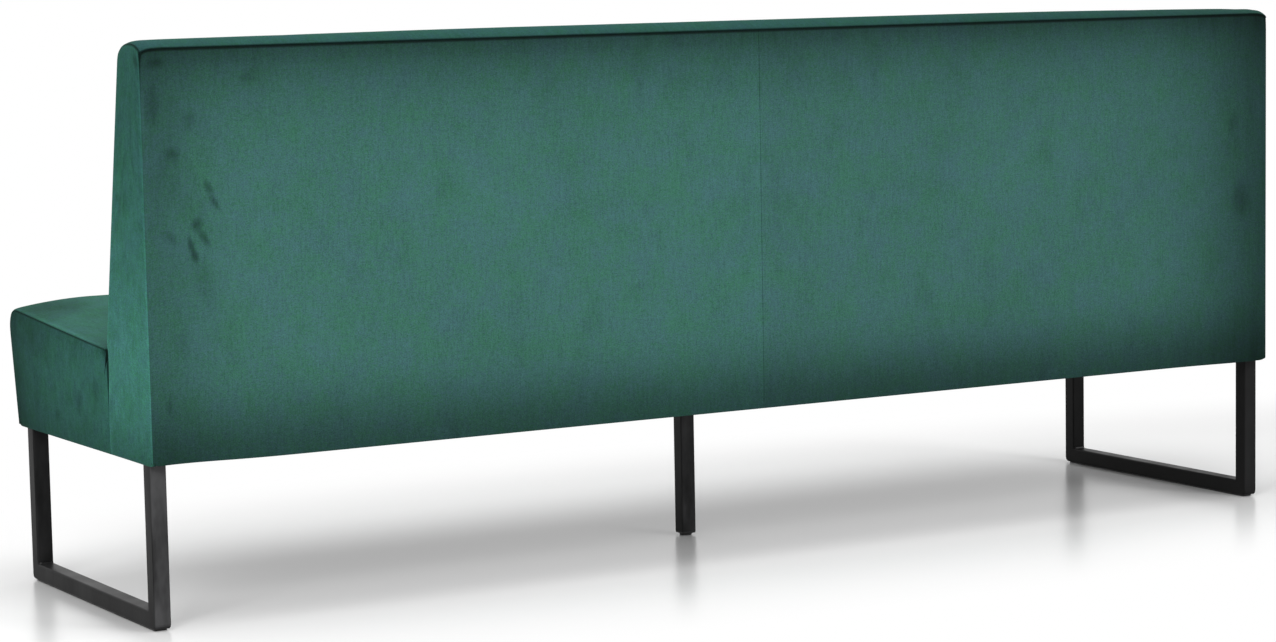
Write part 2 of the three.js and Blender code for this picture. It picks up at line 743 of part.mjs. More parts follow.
function addSled(side, end) {
  const tubeX = side * (insideX - tubeSize / 2);
  const mitreGap = seatFit * Math.SQRT2;
  const uprightLength = uprightTop - runnerBottom - mitreGap;
  const rearY = rearFaceY - sledRearSetback - tubeSize / 2;
  const frontY = rearFaceY - sledFrontDepth + tubeSize / 2;

  const rearUpright = addPiece(`sled_upright_rear_${end}`, squareTube(uprightLength, -1, 0), blackSteel);
  rearUpright.position.set(tubeX, rearY, runnerBottom + mitreGap);
  const frontUpright = addPiece(`sled_upright_front_${end}`, squareTube(uprightLength, 1, 0), blackSteel);
  frontUpright.position.set(tubeX, frontY, runnerBottom + mitreGap);

  const runner = addPiece(`sled_runner_${end}`,
    squareTube(sledFrontDepth - sledRearSetback, -1, 1), blackSteel);
  runner.rotation.x = -Math.PI / 2;
  runner.position.set(tubeX, frontY - tubeSize / 2, runnerBottom + tubeSize / 2);

  const barEdges = [side * insideX, side * (insideX - barWidth)].sort((a, b) => a - b);
  const bar = board(barEdges[0], barEdges[1], sledRearSetback, sledFrontDepth, barBottom, barTop);
  const screws = sledScrews.filter((screw) => screw.side === side);
  addPiece(`sled_bar_${end}`, cutFrom(bar, screws.map(screwHole)), blackSteel);

  addPiece(`sled_glide_strip_${end}`,
    board(tubeX - glideStripWidth / 2, tubeX + glideStripWidth / 2, sledRearSetback + glideStripEndGap,
      sledFrontDepth - glideStripEndGap, 0, glideStripThickness), blackPlastic);
}

const insertBottom = padHeight + seatFit;
const insertFlangeTop = insertBottom + insertFlangeThickness;
const legBottom = insertFlangeTop + seatFit;
const legY = rearFaceY - legMiddleDepth;

function borePlate(size, radius, low, high) {
  const shape = new THREE.Shape(outlinePoints(roundedSquare(size, radius)));
  const bore = new THREE.Path();
  bore.absarc(0, 0, studRadius + studClearance, 0, Math.PI * 2);
  const points = bore.getPoints(roundSides);
  points.pop();
  shape.holes.push(new THREE.Path(points));
  const geometry = new THREE.ExtrudeGeometry(shape, { depth: high - low, bevelEnabled: false });
  geometry.translate(0, 0, low);
  return geometry;
}

function addMiddleLeg() {
  const tube = addPiece('leg_middle_tube', squareTube(uprightTop - legBottom, 0, 0), blackSteel);
  tube.position.set(legX, legY, legBottom);

  const plate = board(legX - legPlateLength / 2, legX + legPlateLength / 2,
    legMiddleDepth - legPlateWidth / 2, legMiddleDepth + legPlateWidth / 2, barBottom, barTop);
  addPiece('leg_middle_plate', cutFrom(plate, legScrews.map(screwHole)), blackSteel);

  const plugSize = tubeSize - 2 * tubeWall - 2 * insertClearance;
  const flange = borePlate(tubeSize - 2 * insertFlangeInset, tubeCornerRadius, 0, insertFlangeThickness);
  const plug = borePlate(plugSize, tubeCornerRadius - tubeWall, 0, insertFlangeThickness + insertDepth);
  const insert = addPiece('leg_middle_insert', joinSolids(flange, plug), blackPlastic);
  insert.position.set(legX, legY, insertBottom);
}

function addGlide() {
  const socketFloor = padHeight - padSocketDepth;
  const socketRadius = studRadius + studClearance;
  const padProfile = [
    new THREE.Vector2(0, 0),
    new THREE.Vector2(padRadius - padEdgeRadius, 0),
    new THREE.Vector2(padRadius, padEdgeRadius),
    new THREE.Vector2(padTopRadius, padHeight),
    new THREE.Vector2(socketRadius, padHeight),
    new THREE.Vector2(socketRadius, socketFloor),
    new THREE.Vector2(0, socketFloor),
  ];
  const pad = addPiece('glide_pad', new THREE.LatheGeometry(padProfile, roundSides), blackPlastic);
  pad.rotation.x = Math.PI / 2;
  pad.position.set(legX, legY, 0);

  const studProfile = [
    new THREE.Vector2(0, 0),
    new THREE.Vector2(studRadius, 0),
    new THREE.Vector2(studRadius, studLength - studChamfer),
    new THREE.Vector2(studRadius - studChamfer, studLength),
    new THREE.Vector2(0, studLength),
  ];
  const stud = addPiece('glide_stud', new THREE.LatheGeometry(studProfile, roundSides), zincSteel);
  stud.rotation.x = Math.PI / 2;
  stud.position.set(legX, legY, socketFloor + seatFit);
}

addCovers();
addFoams();
addSeatFrame();
addBackFrame();
addDustCover();
addSled(1, 'near');
addSled(-1, 'far');
addMiddleLeg();
addGlide();
addScrews();

export default bench;
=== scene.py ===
import math
import random
import bmesh
import bpy
from mathutils import Matrix, Vector


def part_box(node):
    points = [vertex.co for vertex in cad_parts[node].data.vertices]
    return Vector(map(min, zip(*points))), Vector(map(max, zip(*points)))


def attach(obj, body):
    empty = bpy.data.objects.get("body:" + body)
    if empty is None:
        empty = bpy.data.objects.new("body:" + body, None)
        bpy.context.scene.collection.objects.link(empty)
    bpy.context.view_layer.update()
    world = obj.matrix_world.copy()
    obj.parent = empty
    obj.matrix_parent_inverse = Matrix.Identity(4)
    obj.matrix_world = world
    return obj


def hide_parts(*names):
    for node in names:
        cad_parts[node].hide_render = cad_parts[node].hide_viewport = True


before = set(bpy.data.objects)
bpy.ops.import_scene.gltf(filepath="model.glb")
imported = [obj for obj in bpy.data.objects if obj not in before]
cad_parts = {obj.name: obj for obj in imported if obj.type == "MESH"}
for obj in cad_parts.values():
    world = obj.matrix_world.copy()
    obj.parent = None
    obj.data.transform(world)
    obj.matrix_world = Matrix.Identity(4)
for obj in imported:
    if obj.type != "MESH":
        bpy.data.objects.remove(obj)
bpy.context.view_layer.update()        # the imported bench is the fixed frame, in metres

scene = bpy.context.scene

# camera, set to the photograph's own viewpoint behind the bench
cameraPlace = {
    "azimuth": 150.0737, "elevation": 6.1765, "roll": -1.0903,
    "distance": 6.3692, "target": (0.0671, -0.0013, 0.4205),
    "lens": 93.857, "sensor": 36.0, "clipEnd": 60,
}


def makeCamera(place):
    azimuth, elevation, roll = (math.radians(place[k]) for k in ("azimuth", "elevation", "roll"))
    back = Vector((math.sin(azimuth) * math.cos(elevation),
                   -math.cos(azimuth) * math.cos(elevation), math.sin(elevation)))
    right = (-back).cross(Vector((0, 0, 1))).normalized()
    up = right.cross(-back)
    across = right * math.cos(roll) + up * math.sin(roll)
    upright = up * math.cos(roll) - right * math.sin(roll)
    data = bpy.data.cameras.new("camera")
    data.lens = place["lens"]
    data.sensor_width = place["sensor"]
    data.clip_end = place["clipEnd"]
    camera = bpy.data.objects.new("camera", data)
    turn = Matrix((across, upright, back)).transposed().to_4x4()
    camera.matrix_world = Matrix.Translation(Vector(place["target"]) + back * place["distance"]) @ turn
    scene.collection.objects.link(camera)
    scene.camera = camera


makeCamera(cameraPlace)
print("camera placed")


# node helpers

def addNode(tree, kind, **values):
    node = tree.nodes.new(kind)
    for key, value in values.items():
        setattr(node, key, value)
    return node


def feed(tree, socket, value):
    if isinstance(value, bpy.types.NodeSocket):
        tree.links.new(value, socket)
    elif value is not None:
        socket.default_value = value


def addMath(tree, operation, first, second=None, third=None, clamp=False):
    node = addNode(tree, "ShaderNodeMath", operation=operation, use_clamp=clamp)
    for socket, value in zip(node.inputs, (first, second, third)):
        feed(tree, socket, value)
    return node.outputs[0]


def addMix(tree, factor, first, second):
    node = addNode(tree, "ShaderNodeMix", data_type="RGBA", blend_type="MIX", clamp_factor=True)
    feed(tree, node.inputs["Factor"], factor)
    feed(tree, node.inputs["A"], first)
    feed(tree, node.inputs["B"], second)
    return node.outputs["Result"]


def addRange(tree, value, fromLow, fromHigh, toLow=0.0, toHigh=1.0, kind="SMOOTHSTEP"):
    node = addNode(tree, "ShaderNodeMapRange", interpolation_type=kind, clamp=True)
    settings = (value, fromLow, fromHigh, toLow, toHigh)
    for name, setting in zip(("Value", "From Min", "From Max", "To Min", "To Max"), settings):
        feed(tree, node.inputs[name], setting)
    return node.outputs["Result"]


def addNoise(tree, vector, scale, detail, roughness):
    node = addNode(tree, "ShaderNodeTexNoise")
    for name, setting in (("Vector", vector), ("Scale", scale), ("Detail", detail), ("Roughness", roughness)):
        feed(tree, node.inputs[name], setting)
    return node.outputs["Fac"]


def addStretch(tree, vector, scales, shift=(0, 0, 0)):
    node = addNode(tree, "ShaderNodeMapping")
    feed(tree, node.inputs["Vector"], vector)
    node.inputs["Scale"].default_value = scales
    node.inputs["Location"].default_value = shift
    return node.outputs["Vector"]


def newGroup(name, inputs, outputs):
    group = bpy.data.node_groups.new(name, "ShaderNodeTree")
    for inOut, sockets in (("INPUT", inputs), ("OUTPUT", outputs)):
        for label, kind in sockets:
            group.interface.new_socket(label, in_out=inOut, socket_type=f"NodeSocket{kind}")
    return group, addNode(group, "NodeGroupInput").outputs, addNode(group, "NodeGroupOutput").inputs


def rgb(red, green, blue):
    channels = (value / 255 for value in (red, green, blue))
    return tuple(c / 12.92 if c <= 0.04045 else ((c + 0.055) / 1.055) ** 2.4 for c in channels) + (1.0,)


# effects shared by several finishes

def velvetPile():
    # short pile: teal and green fibres, upright streaks from the loom, patches brushed the other way, with
    # painted shade and highlights towards the panel edges, along the seams and in some of the crushed places
    group, given, made = newGroup(
        "velvet_pile",
        [("Vector", "Vector"), ("Green", "Color"), ("Teal", "Color")]
        + [(label, "Float") for label in ("Seam Distance", "Seam Run", "Rim", "Crush", "Brushed", "Mottle",
                                          "Seam Shade", "Stitch Pitch")],
        [("Color", "Color"), ("Height", "Float")])
    cloth = given["Vector"]

    def times(first, second, clamp=False):
        return addMath(group, "MULTIPLY", first, second, clamp=clamp)

    def around(value, amount, base):
        return addMath(group, "MULTIPLY_ADD", addMath(group, "SUBTRACT", value, 0.5), amount, base)

    def darker(bright, mask, amount):
        return times(bright, addMath(group, "SUBTRACT", 1.0, times(mask, amount, clamp=True)))

    def streaks(scales, detail, roughness):
        return addNoise(group, addStretch(group, cloth, scales), 1.0, detail, roughness)

    fibre = addNoise(group, cloth, 430, 3, 0.75)
    tuft = addNoise(group, cloth, 150, 3, 0.7)
    cloudy = addNoise(group, cloth, 3.4, 4, 0.6)
    streak = streaks((240, 24, 1), 3, 0.6)
    wideStreak = streaks((40, 3.2, 1), 3, 0.55)
    brushed = streaks((15, 7, 1), 6, 0.65)
    mottle = streaks((60, 26, 1), 5, 0.7)

    hue = addMath(group, "MULTIPLY_ADD", addNoise(group, cloth, 260, 4, 0.75), 0.75,
                  times(addNoise(group, cloth, 15, 5, 0.75), 0.5))
    colour = addMix(group, addRange(group, hue, 0.50, 0.74), given["Green"], given["Teal"])
    tone = 1.0
    for layer, amount in ((fibre, 1.5), (tuft, 0.62), (streak, 0.42), (wideStreak, 0.10), (cloudy, 0.26)):
        tone = around(layer, amount, tone)
    # painted shade towards the panel edges, only partly the pile leaning over; a negative edge share paints a
    # highlight line
    rim = times(given["Rim"], around(wideStreak, 0.25, 1.0))
    tone = times(tone, addMath(group, "SUBTRACT", 1.0, rim))
    tone = times(tone, around(mottle, given["Mottle"], 1.0))
    tone = darker(tone, addRange(group, brushed, 0.50, 0.80), given["Brushed"])
    # crushed pile darkens the velvet, and the same masks paint shade into dark corners and onto the seat top
    pressedAndShaded = addMath(group, "ADD", given["Crush"], around(brushed, 0.7, 0.0))
    pressedAndShaded = times(addRange(group, pressedAndShaded, 0.0, 1.0), addRange(group, given["Crush"], 0.02, 0.40))
    tone = darker(tone, pressedAndShaded, 0.6)
    tone = darker(tone, addRange(group, given["Seam Distance"], 0.0, 0.0045, 1.0, 0.0), given["Seam Shade"])
    bright = addNode(group, "ShaderNodeVectorMath", operation="SCALE")
    feed(group, bright.inputs[0], colour)
    feed(group, bright.inputs["Scale"], tone)
    feed(group, made["Color"], bright.outputs["Vector"])

    # the seam draws the cloth in at every stitch
    turn = addMath(group, "DIVIDE", given["Seam Run"], given["Stitch Pitch"])
    stitch = addMath(group, "COSINE", times(turn, 2 * math.pi))
    drawn = times(stitch, addRange(group, given["Seam Distance"], 0.001, 0.008, 1.0, 0.0))
    height = addMath(group, "MULTIPLY_ADD", streak, 0.4, times(fibre, 0.8))
    height = addMath(group, "MULTIPLY_ADD", pressedAndShaded, -0.5, height)
    feed(group, made["Height"], addMath(group, "MULTIPLY_ADD", drawn, 0.45, height))
    return group


coatOutputs = [("Color", "Color"), ("Roughness", "Float"), ("Height", "Float")]


def powderCoat():
    # stoved powder: orange peel, faint dust and slightly polished corners, with painted light on the faces
    # that look up and back
    group, given, made = newGroup(
        "powder_coat", [("Vector", "Vector"), ("Dusty", "Float"), ("Coat", "Color"), ("Dust", "Color"),
                        ("Dust Amount", "Float")], coatOutputs)
    place = given["Vector"]
    peel = addNoise(group, place, 900, 3, 0.55)
    smear = addNoise(group, addStretch(group, place, (14, 14, 5)), 1.0, 4, 0.6)
    # the mix also paints light onto the faces that look up and back
    dust = addMath(group, "MULTIPLY", addRange(group, smear, 0.25, 0.75),
                   addMath(group, "ADD", given["Dust Amount"], given["Dusty"]))
    feed(group, made["Color"], addMix(group, dust, given["Coat"], given["Dust"]))
    feed(group, made["Roughness"], addRange(group, smear, 0.3, 0.7, 0.36, 0.52, "LINEAR"))
    feed(group, made["Height"], peel)
    return group


def woodGrain():
    # planed timber and plywood: long bands of grain with open pores
    group, given, made = newGroup(
        "wood_grain", [("Vector", "Vector"), ("Pale", "Color"), ("Dark", "Color"), ("Rings", "Float")],
        coatOutputs)
    place = given["Vector"]
    wave = addNode(group, "ShaderNodeTexWave", wave_type="BANDS", bands_direction="Z")
    feed(group, wave.inputs["Vector"], addStretch(group, place, (0.06, 1, 1)))
    feed(group, wave.inputs["Scale"], given["Rings"])
    wave.inputs["Distortion"].default_value = 5.5
    wave.inputs["Detail"].default_value = 3
    wave.inputs["Detail Scale"].default_value = 1.6
    pores = addNoise(group, addStretch(group, place, (12, 700, 700)), 1.0, 2, 0.6)
    mixed = addMath(group, "MULTIPLY_ADD", pores, 0.45, addMath(group, "MULTIPLY", wave.outputs["Fac"], 0.6))
    feed(group, made["Color"], addMix(group, mixed, given["Pale"], given["Dark"]))
    feed(group, made["Roughness"], addRange(group, pores, 0.3, 0.7, 0.55, 0.8, "LINEAR"))
    feed(group, made["Height"], pores)
    return group


def fineGrain():
    # moulded or drawn surfaces: a small even grain with a few rubbed places
    group, given, made = newGroup(
        "fine_grain", [("Vector", "Vector"), ("Base", "Color"), ("Rubbed", "Color"), ("Size", "Float")],
        coatOutputs)
    grain = addNoise(group, given["Vector"], given["Size"], 3, 0.6)
    rub = addNoise(group, given["Vector"], 35, 4, 0.65)
    feed(group, made["Color"], addMix(group, addRange(group, rub, 0.5, 0.8), given["Base"], given["Rubbed"]))
    feed(group, made["Roughness"], addRange(group, rub, 0.3, 0.7, 0.55, 0.38, "LINEAR"))
    feed(group, made["Height"], grain)
    return group


effects = {"velvet": velvetPile(), "powder": powderCoat(), "wood": woodGrain(), "grain": fineGrain()}


# what the covers and tubes store for their finishes to read
surfaceAttributes = {"Seam Distance": "seamDistance", "Seam Run": "seamRun", "Rim": "rim", "Crush": "crush",
                     "Dusty": "dusty"}


def newMaterial(name, effect, values, shader, bump):
    # the group makes colour, roughness and height; everything even stays on the shader itself
    material = bpy.data.materials.new(name)
    material.use_nodes = True
    tree = material.node_tree
    principled = tree.nodes["Principled BSDF"]
    group = addNode(tree, "ShaderNodeGroup", node_tree=effects[effect])
    if effect == "velvet":
        source = addNode(tree, "ShaderNodeUVMap", uv_map="cloth").outputs["UV"]
    else:
        source = addNode(tree, "ShaderNodeTexCoord").outputs["Object"]
    for label, attribute in surfaceAttributes.items():
        if label in group.inputs:
            reader = addNode(tree, "ShaderNodeAttribute", attribute_type="GEOMETRY", attribute_name=attribute)
            feed(tree, group.inputs[label], reader.outputs["Fac"])
    relief = addNode(tree, "ShaderNodeBump")
    results = {"Base Color": group.outputs["Color"], "Roughness": group.outputs.get("Roughness"),
               "Normal": relief.outputs["Normal"]}
    reliefValues = {"Strength": bump[0], "Distance": bump[1], "Height": group.outputs["Height"]}
    for node, settings in ((group, {"Vector": source, **values}), (relief, reliefValues),
                           (principled, {**results, **shader})):
        for label, value in settings.items():
            feed(tree, node.inputs[label], value)
    return material


# velvet: one cloth, cut into panels; each panel's brightness is partly how its pile lies and partly painted
# light, darker on the top strip and seat and lighter on the side band, for how the lamps fall on them
velvetLook = {
    "green": (55, 104, 84), "teal": (63, 101, 103), "stitchPitch": 0.0042, "seamShade": 0.8,
    "brushed": 0.16, "mottle": 0.12, "bump": (0.35, 0.0006),
    "shader": {"Roughness": 0.9, "Sheen Weight": 0.05, "Sheen Roughness": 0.35,
               "Sheen Tint": rgb(90, 190, 150), "Specular IOR Level": 0.06},
}


def velvet(name, values):
    def toned(colour):
        return tuple(channel * share for channel, share in zip(rgb(*look[colour]), look["tone"])) + (1.0,)

    look = {**velvetLook, **values}
    given = {"Green": toned("green"), "Teal": toned("teal"), "Brushed": look["brushed"],
             "Mottle": look["mottle"], "Seam Shade": look["seamShade"], "Stitch Pitch": look["stitchPitch"]}
    return newMaterial(name, "velvet", given, look["shader"], look["bump"])


# the other finishes: effect, its colours and sizes, shader values, strength and depth of the relief
plainLooks = {
    "black_powder_coat": ("powder", {"Coat": (12, 12, 12), "Dust": (84, 84, 85), "Dust Amount": 0.03},
                          {"Specular IOR Level": 0.08}, (0.12, 0.0002)),
    "weld_under_powder_coat": ("powder", {"Coat": (8, 8, 9), "Dust": (40, 40, 40), "Dust Amount": 0.3},
                               {"Specular IOR Level": 0.5}, (0.3, 0.0003)),
    "black_glide_plastic": ("grain", {"Base": (15, 15, 15), "Rubbed": (38, 38, 38), "Size": 1400.0},
                            {"Specular IOR Level": 0.4}, (0.15, 0.0002)),
    "zinc_plated_steel": ("grain", {"Base": (168, 170, 172), "Rubbed": (196, 194, 186), "Size": 900.0},
                          {"Metallic": 0.9}, (0.1, 0.0001)),
    "planed_softwood": ("wood", {"Pale": (222, 190, 140), "Dark": (176, 132, 82), "Rings": 26.0},
                        {}, (0.2, 0.0004)),
    "birch_plywood": ("wood", {"Pale": (226, 200, 158), "Dark": (196, 160, 112), "Rings": 11.0},
                      {}, (0.15, 0.0003)),
    "cut_foam": ("grain", {"Base": (232, 222, 176), "Rubbed": (206, 190, 138), "Size": 620.0},
                 {"Specular IOR Level": 0.1}, (0.7, 0.0012)),
    "black_dust_cloth": ("grain", {"Base": (22, 22, 23), "Rubbed": (34, 34, 35), "Size": 1900.0},
                         {"Specular IOR Level": 0.15}, (0.6, 0.0004)),
}
plain = {}
for name, (effect, values, shader, bump) in plainLooks.items():
    values = {label: rgb(*value) if isinstance(value, tuple) else value for label, value in values.items()}
    plain[name] = newMaterial(name, effect, values, shader, bump)
print("finishes made")


# the bench in section, metres forward of the rear face and above the floor
shape = {
    "seamX": 1.198, "hemHeight": 0.282, "hemLiftAt": 0.06,
    "hemDepth": 0.6435, "noseDepth": 0.681, "noseHeight": 0.501, "noseRadius": 0.034,
    "seatRearDepth": 0.1923, "seatRearHeight": 0.465, "seatCrown": 0.0155, "seatEndSwell": 0.15,
    "seatFlare": 0.003, "seatFlareReach": 0.3,
    "topSeamHeight": 0.978, "stripHeight": 0.9795, "topThickness": 0.093, "backDepth": 0.192,
    "frontSeamDrop": 0.010, "frontSeamRound": 0.028, "backTuckHeight": 0.415,
    "cornerDrop": 0.007, "cornerRound": 0.026,
    "backCrown": 0.007, "backEndSwell": 0.22, "rearCrown": 0.002, "panelRoll": 0.05,
    "puff": 0.0012, "puffRound": 0.014,
    "hemDrawn": 0.0045, "hemRound": 0.014, "hemReach": 0.035, "hemWave": 0.10,
}
# how high the padding of the top strip stands along the bench, fullest in the middle
stripCrowns = [
    (-1.198, 0.0050), (-1.184, 0.0076), (-1.160, 0.0080), (-1.120, 0.0096), (-1.090, 0.0101),
    (-0.940, 0.0122), (-0.720, 0.0146), (-0.530, 0.0156), (0.500, 0.0158), (0.700, 0.0152),
    (0.890, 0.0140), (1.030, 0.0132), (1.140, 0.0127), (1.180, 0.0120), (1.190, 0.0104), (1.198, 0.0062),
]
ends = (("near", 1), ("far", -1))
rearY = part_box("back_side_band_near")[1].y
assert abs(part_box("seat_end_panel_near")[0].z - shape["hemHeight"]) < 0.001


def easeIn(distance, length):
    share = max(0.0, min(distance / length, 1.0))
    return 1 - (1 - share) ** 2


def crownAt(x):
    # stripCrowns read at one place
    for (before, low), (after, high) in zip(stripCrowns, stripCrowns[1:]):
        if x <= after:
            share = max(0.0, (x - before) / (after - before))
            return low + (high - low) * share
    return stripCrowns[-1][1]


def cornerDropAt(fromEnd, fromRear=0.0):
    # the three seams that meet in a top corner at the rear pull it down
    near = [1 - easeIn(distance, shape["cornerRound"]) for distance in (fromEnd, fromRear)]
    return shape["cornerDrop"] * near[0] * near[1]


def hemDrawnAt(fromCorner, fromHem):
    # the folds that meet in a corner of the hem draw it up a little
    share = (1 - easeIn(fromCorner, shape["hemRound"])) * (1 - easeIn(fromHem, shape["hemReach"]))
    return shape["hemDrawn"] * share


def puffAt(*distances):
    # wadding fills the cover out close behind its seams
    return shape["puff"] * math.prod(easeIn(distance, shape["puffRound"]) for distance in distances)


class OutlinePath:
    # a line of straight runs in section, with one rounded corner, read by its length
    def __init__(self, points, corner=None, radius=0.0):
        self.parts = []
        points = [Vector(p) for p in points]
        for index in range(len(points) - 1):
            self.parts.append(["line", points[index], points[index + 1]])
        if corner is not None:
            before, after = self.parts[corner - 1], self.parts[corner]
            apex = before[2]
            toBefore = (before[1] - apex).normalized()
            toAfter = (after[2] - apex).normalized()
            half = toBefore.angle(toAfter) / 2
            tangent = radius / math.tan(half)
            centre = apex + (toBefore + toAfter).normalized() * radius / math.sin(half)
            before[2] = apex + toBefore * tangent
            after[1] = apex + toAfter * tangent
            self.parts.insert(corner, ["arc", before[2] - centre, after[1] - centre, centre])
        self.lengths = [self.partLength(part) for part in self.parts]
        self.total = sum(self.lengths)

    def partLength(self, part):
        if part[0] == "line":
            return (part[2] - part[1]).length
        return part[1].length * part[1].angle(part[2])

    def at(self, run):
        for part, length in zip(self.parts, self.lengths):
            if run <= length or part is self.parts[-1]:
                share = run / length
                if part[0] == "line":
                    return part[1].lerp(part[2], share)
                sweep = part[1].angle(part[2])
                first = math.sin((1 - share) * sweep) / math.sin(sweep)
                last = math.sin(share * sweep) / math.sin(sweep)
                return part[3] + part[1] * first + part[2] * last
            run -= length


seatPath = OutlinePath(
    [(shape["hemDepth"], shape["hemHeight"]), (shape["noseDepth"], shape["noseHeight"]),
     (shape["seatRearDepth"], shape["seatRearHeight"])], 1, shape["noseRadius"])
backPath = OutlinePath(
    [(shape["topThickness"], shape["topSeamHeight"] - shape["frontSeamDrop"]),
     (shape["backDepth"], shape["seatRearHeight"]),
     (shape["backDepth"], shape["backTuckHeight"])])


sectionProbe = 0.002


def bent(path, run, rise):
    # a point of the section, lifted off it by the given rise
    place = path.at(run)
    ahead, behind = path.at(min(run + sectionProbe, path.total)), path.at(max(run - sectionProbe, 0.0))
    along = (ahead - behind).normalized()
    return place + Vector((along.y, -along.x)) * rise


def toBench(x, section):
    return Vector((x, rearY - section.x, section.y))


# sewn panels

# how the cloth ends: it turns over by so many degrees on a radius, then runs on out of sight;
# proud is how far the fold stands out past the line of the seam
edgeKinds = {
    "box": {"radius": 0.0006, "turn": 129, "tuck": 0.006, "closed": 0.0004, "faded": 0.0036},
    "soft": {"radius": 0.0008, "turn": 120, "tuck": 0.006, "faded": 0.0008},
    "ridge": {"radius": 0.0021, "turn": 150, "tuck": 0.006, "proud": 0.0013, "faded": 0.0032},
    "sunk": {"radius": 0.0006, "turn": 115, "tuck": 0.006, "proud": -0.0028, "faded": 0.0},
    "lip": {"radius": 0.0020, "turn": 155, "tuck": 0.006, "proud": 0.0012, "faded": 0.0008},
    "under": {"radius": 0.0018, "turn": 120, "tuck": 0.007, "faded": -0.0006},
    "flat": {"radius": 0.0005, "turn": 90, "tuck": 0.005, "faded": 0.0029},
    "hem": {"radius": 0.0022, "turn": 180, "tuck": 0.006, "proud": 0.0, "faded": 0.0030},
    "crevice": {"radius": 0.0110, "turn": 100, "tuck": 0.040},
    "crease": {"radius": 0.0060, "turn": 90, "tuck": 0.010},
    "plain": {"radius": 0.0, "turn": 0, "tuck": 0.0},
}
# steps of the mesh, its threads beside a turned edge, and how far from a seam the cloth is held
clothCut = {
    "step": 0.015, "fineStep": 0.0055, "arcSteps": 5, "growth": (0.0012, 0.0028, 0.005, 0.008, 0.012, 0.018),
    "thickness": 0.0012, "settle": 0.02, "probe": 0.0004, "foldMiddle": 0.6, "noSeam": 9.0,
    "held": 0.004, "loosened": 0.02,
}

# the upright rear seam opens into the top corner and shows less and less further down
cornerSeam = {"open": 0.0016, "openLength": 0.036, "shade": 0.0046, "shadeLength": 0.26}


def cornerSeamAt(fromTop):
    opened = 1 - easeIn(fromTop, cornerSeam["openLength"])
    shaded = 1 - easeIn(fromTop, cornerSeam["shadeLength"])
    seam = edgeKinds["box"]
    return {"radius": seam["radius"] + cornerSeam["open"] * opened, "turn": seam["turn"],
            "closed": seam["closed"] * (1 - opened),
            "faded": seam["faded"] - cornerSeam["shade"] * shaded ** 3}


def turnStart(edge):
    if not edge["turn"]:
        return 0.0
    if "proud" in edge:
        return edge["radius"] - edge["proud"]
    return edge["radius"] * math.tan(math.radians(edge["turn"]) / 2) - edge.get("closed", 0.0)


def turnedEdge(along, edge, here):
    # from the cut end of the cloth: how far into the panel, and how deep below its face;
    # the threads are laid for the edge, and here is how it turns at this place
    if not edge["turn"]:
        return along, 0.0
    arc = edge["radius"] * math.radians(edge["turn"])
    radius, turn, start = here["radius"], math.radians(here["turn"]), turnStart(here)
    if along < edge["tuck"]:
        rest = edge["tuck"] - along
        return (start - radius * math.sin(turn) - rest * math.cos(turn),
                radius - radius * math.cos(turn) + rest * math.sin(turn))
    beyond = along - edge["tuck"] - arc
    if beyond < 0:
        angle = -turn * beyond / arc
        return start - radius * math.sin(angle), radius - radius * math.cos(angle)
    slip = (turnStart(edge) - start) * min(1.0, beyond / clothCut["settle"])
    return start + beyond + slip, 0.0


def clothLength(span, first, last):
    total = span
    for edge in (first, last):
        total += edge["tuck"] + edge["radius"] * math.radians(edge["turn"]) - turnStart(edge)
    return total


def clothLines(total, first, last, step, fine):
    # where the threads of the mesh lie, close together at the turned edges and where fine asks for it
    sides = []
    for edge in (first, last):
        lines = [0.0]
        if edge["turn"]:
            arc = edge["radius"] * math.radians(edge["turn"])
            lines.append(edge["tuck"] / 2)
            lines += [edge["tuck"] + arc * k / clothCut["arcSteps"] for k in range(clothCut["arcSteps"] + 1)]
            lines += [edge["tuck"] + arc + extra for extra in clothCut["growth"]]
        sides.append(lines)
    run, high = sides[0][-1], total - sides[1][-1]
    middle = []
    while True:
        pace = clothCut["fineStep"] if any(start < run < finish for start, finish in fine) else step
        if run + pace * 1.5 > high:
            break
        run += pace
        middle.append(run)
    return sides[0] + middle + [total - line for line in reversed(sides[1])]


def makeObject(name, bm):
    mesh = bpy.data.meshes.new(name)
    bm.to_mesh(mesh)
    bm.free()
    piece = bpy.data.objects.new(name, mesh)
    scene.collection.objects.link(piece)
    return piece


def shadeSmooth(piece, angle=None):
    for face in piece.data.polygons:
        face.use_smooth = True
    if angle is not None:
        piece.data.set_sharp_from_angle(angle=math.radians(angle))


def rimPileAndPaintedLightAt(distances, rims):
    # near each edge the pile leans over towards the frame and painted shade darkens it further, by this share
    # of the light; a negative share paints a highlight instead
    bright = 1.0
    for distance, rim in zip(distances, rims):
        if rim:
            amount, reach, power = rim
            bright *= 1 - amount * math.exp(-(max(0.0, distance) / reach) ** power)
    return 1 - bright


def crushAndPaintedShadeAt(placeU, placeV, marks):
    # soft ovals where a hand or a box has crushed the pile, and a few that paint shade into drawn-in corners
    # and onto the seat top
    strongest = 0.0
    for atU, atV, width, length, turn, strength in marks:
        offU, offV = placeU - atU, placeV - atV
        across = (offU * math.cos(turn) + offV * math.sin(turn)) / width
        along = (offV * math.cos(turn) - offU * math.sin(turn)) / length
        strongest = max(strongest, strength * math.exp(-(across ** 2 + along ** 2)))
    return strongest


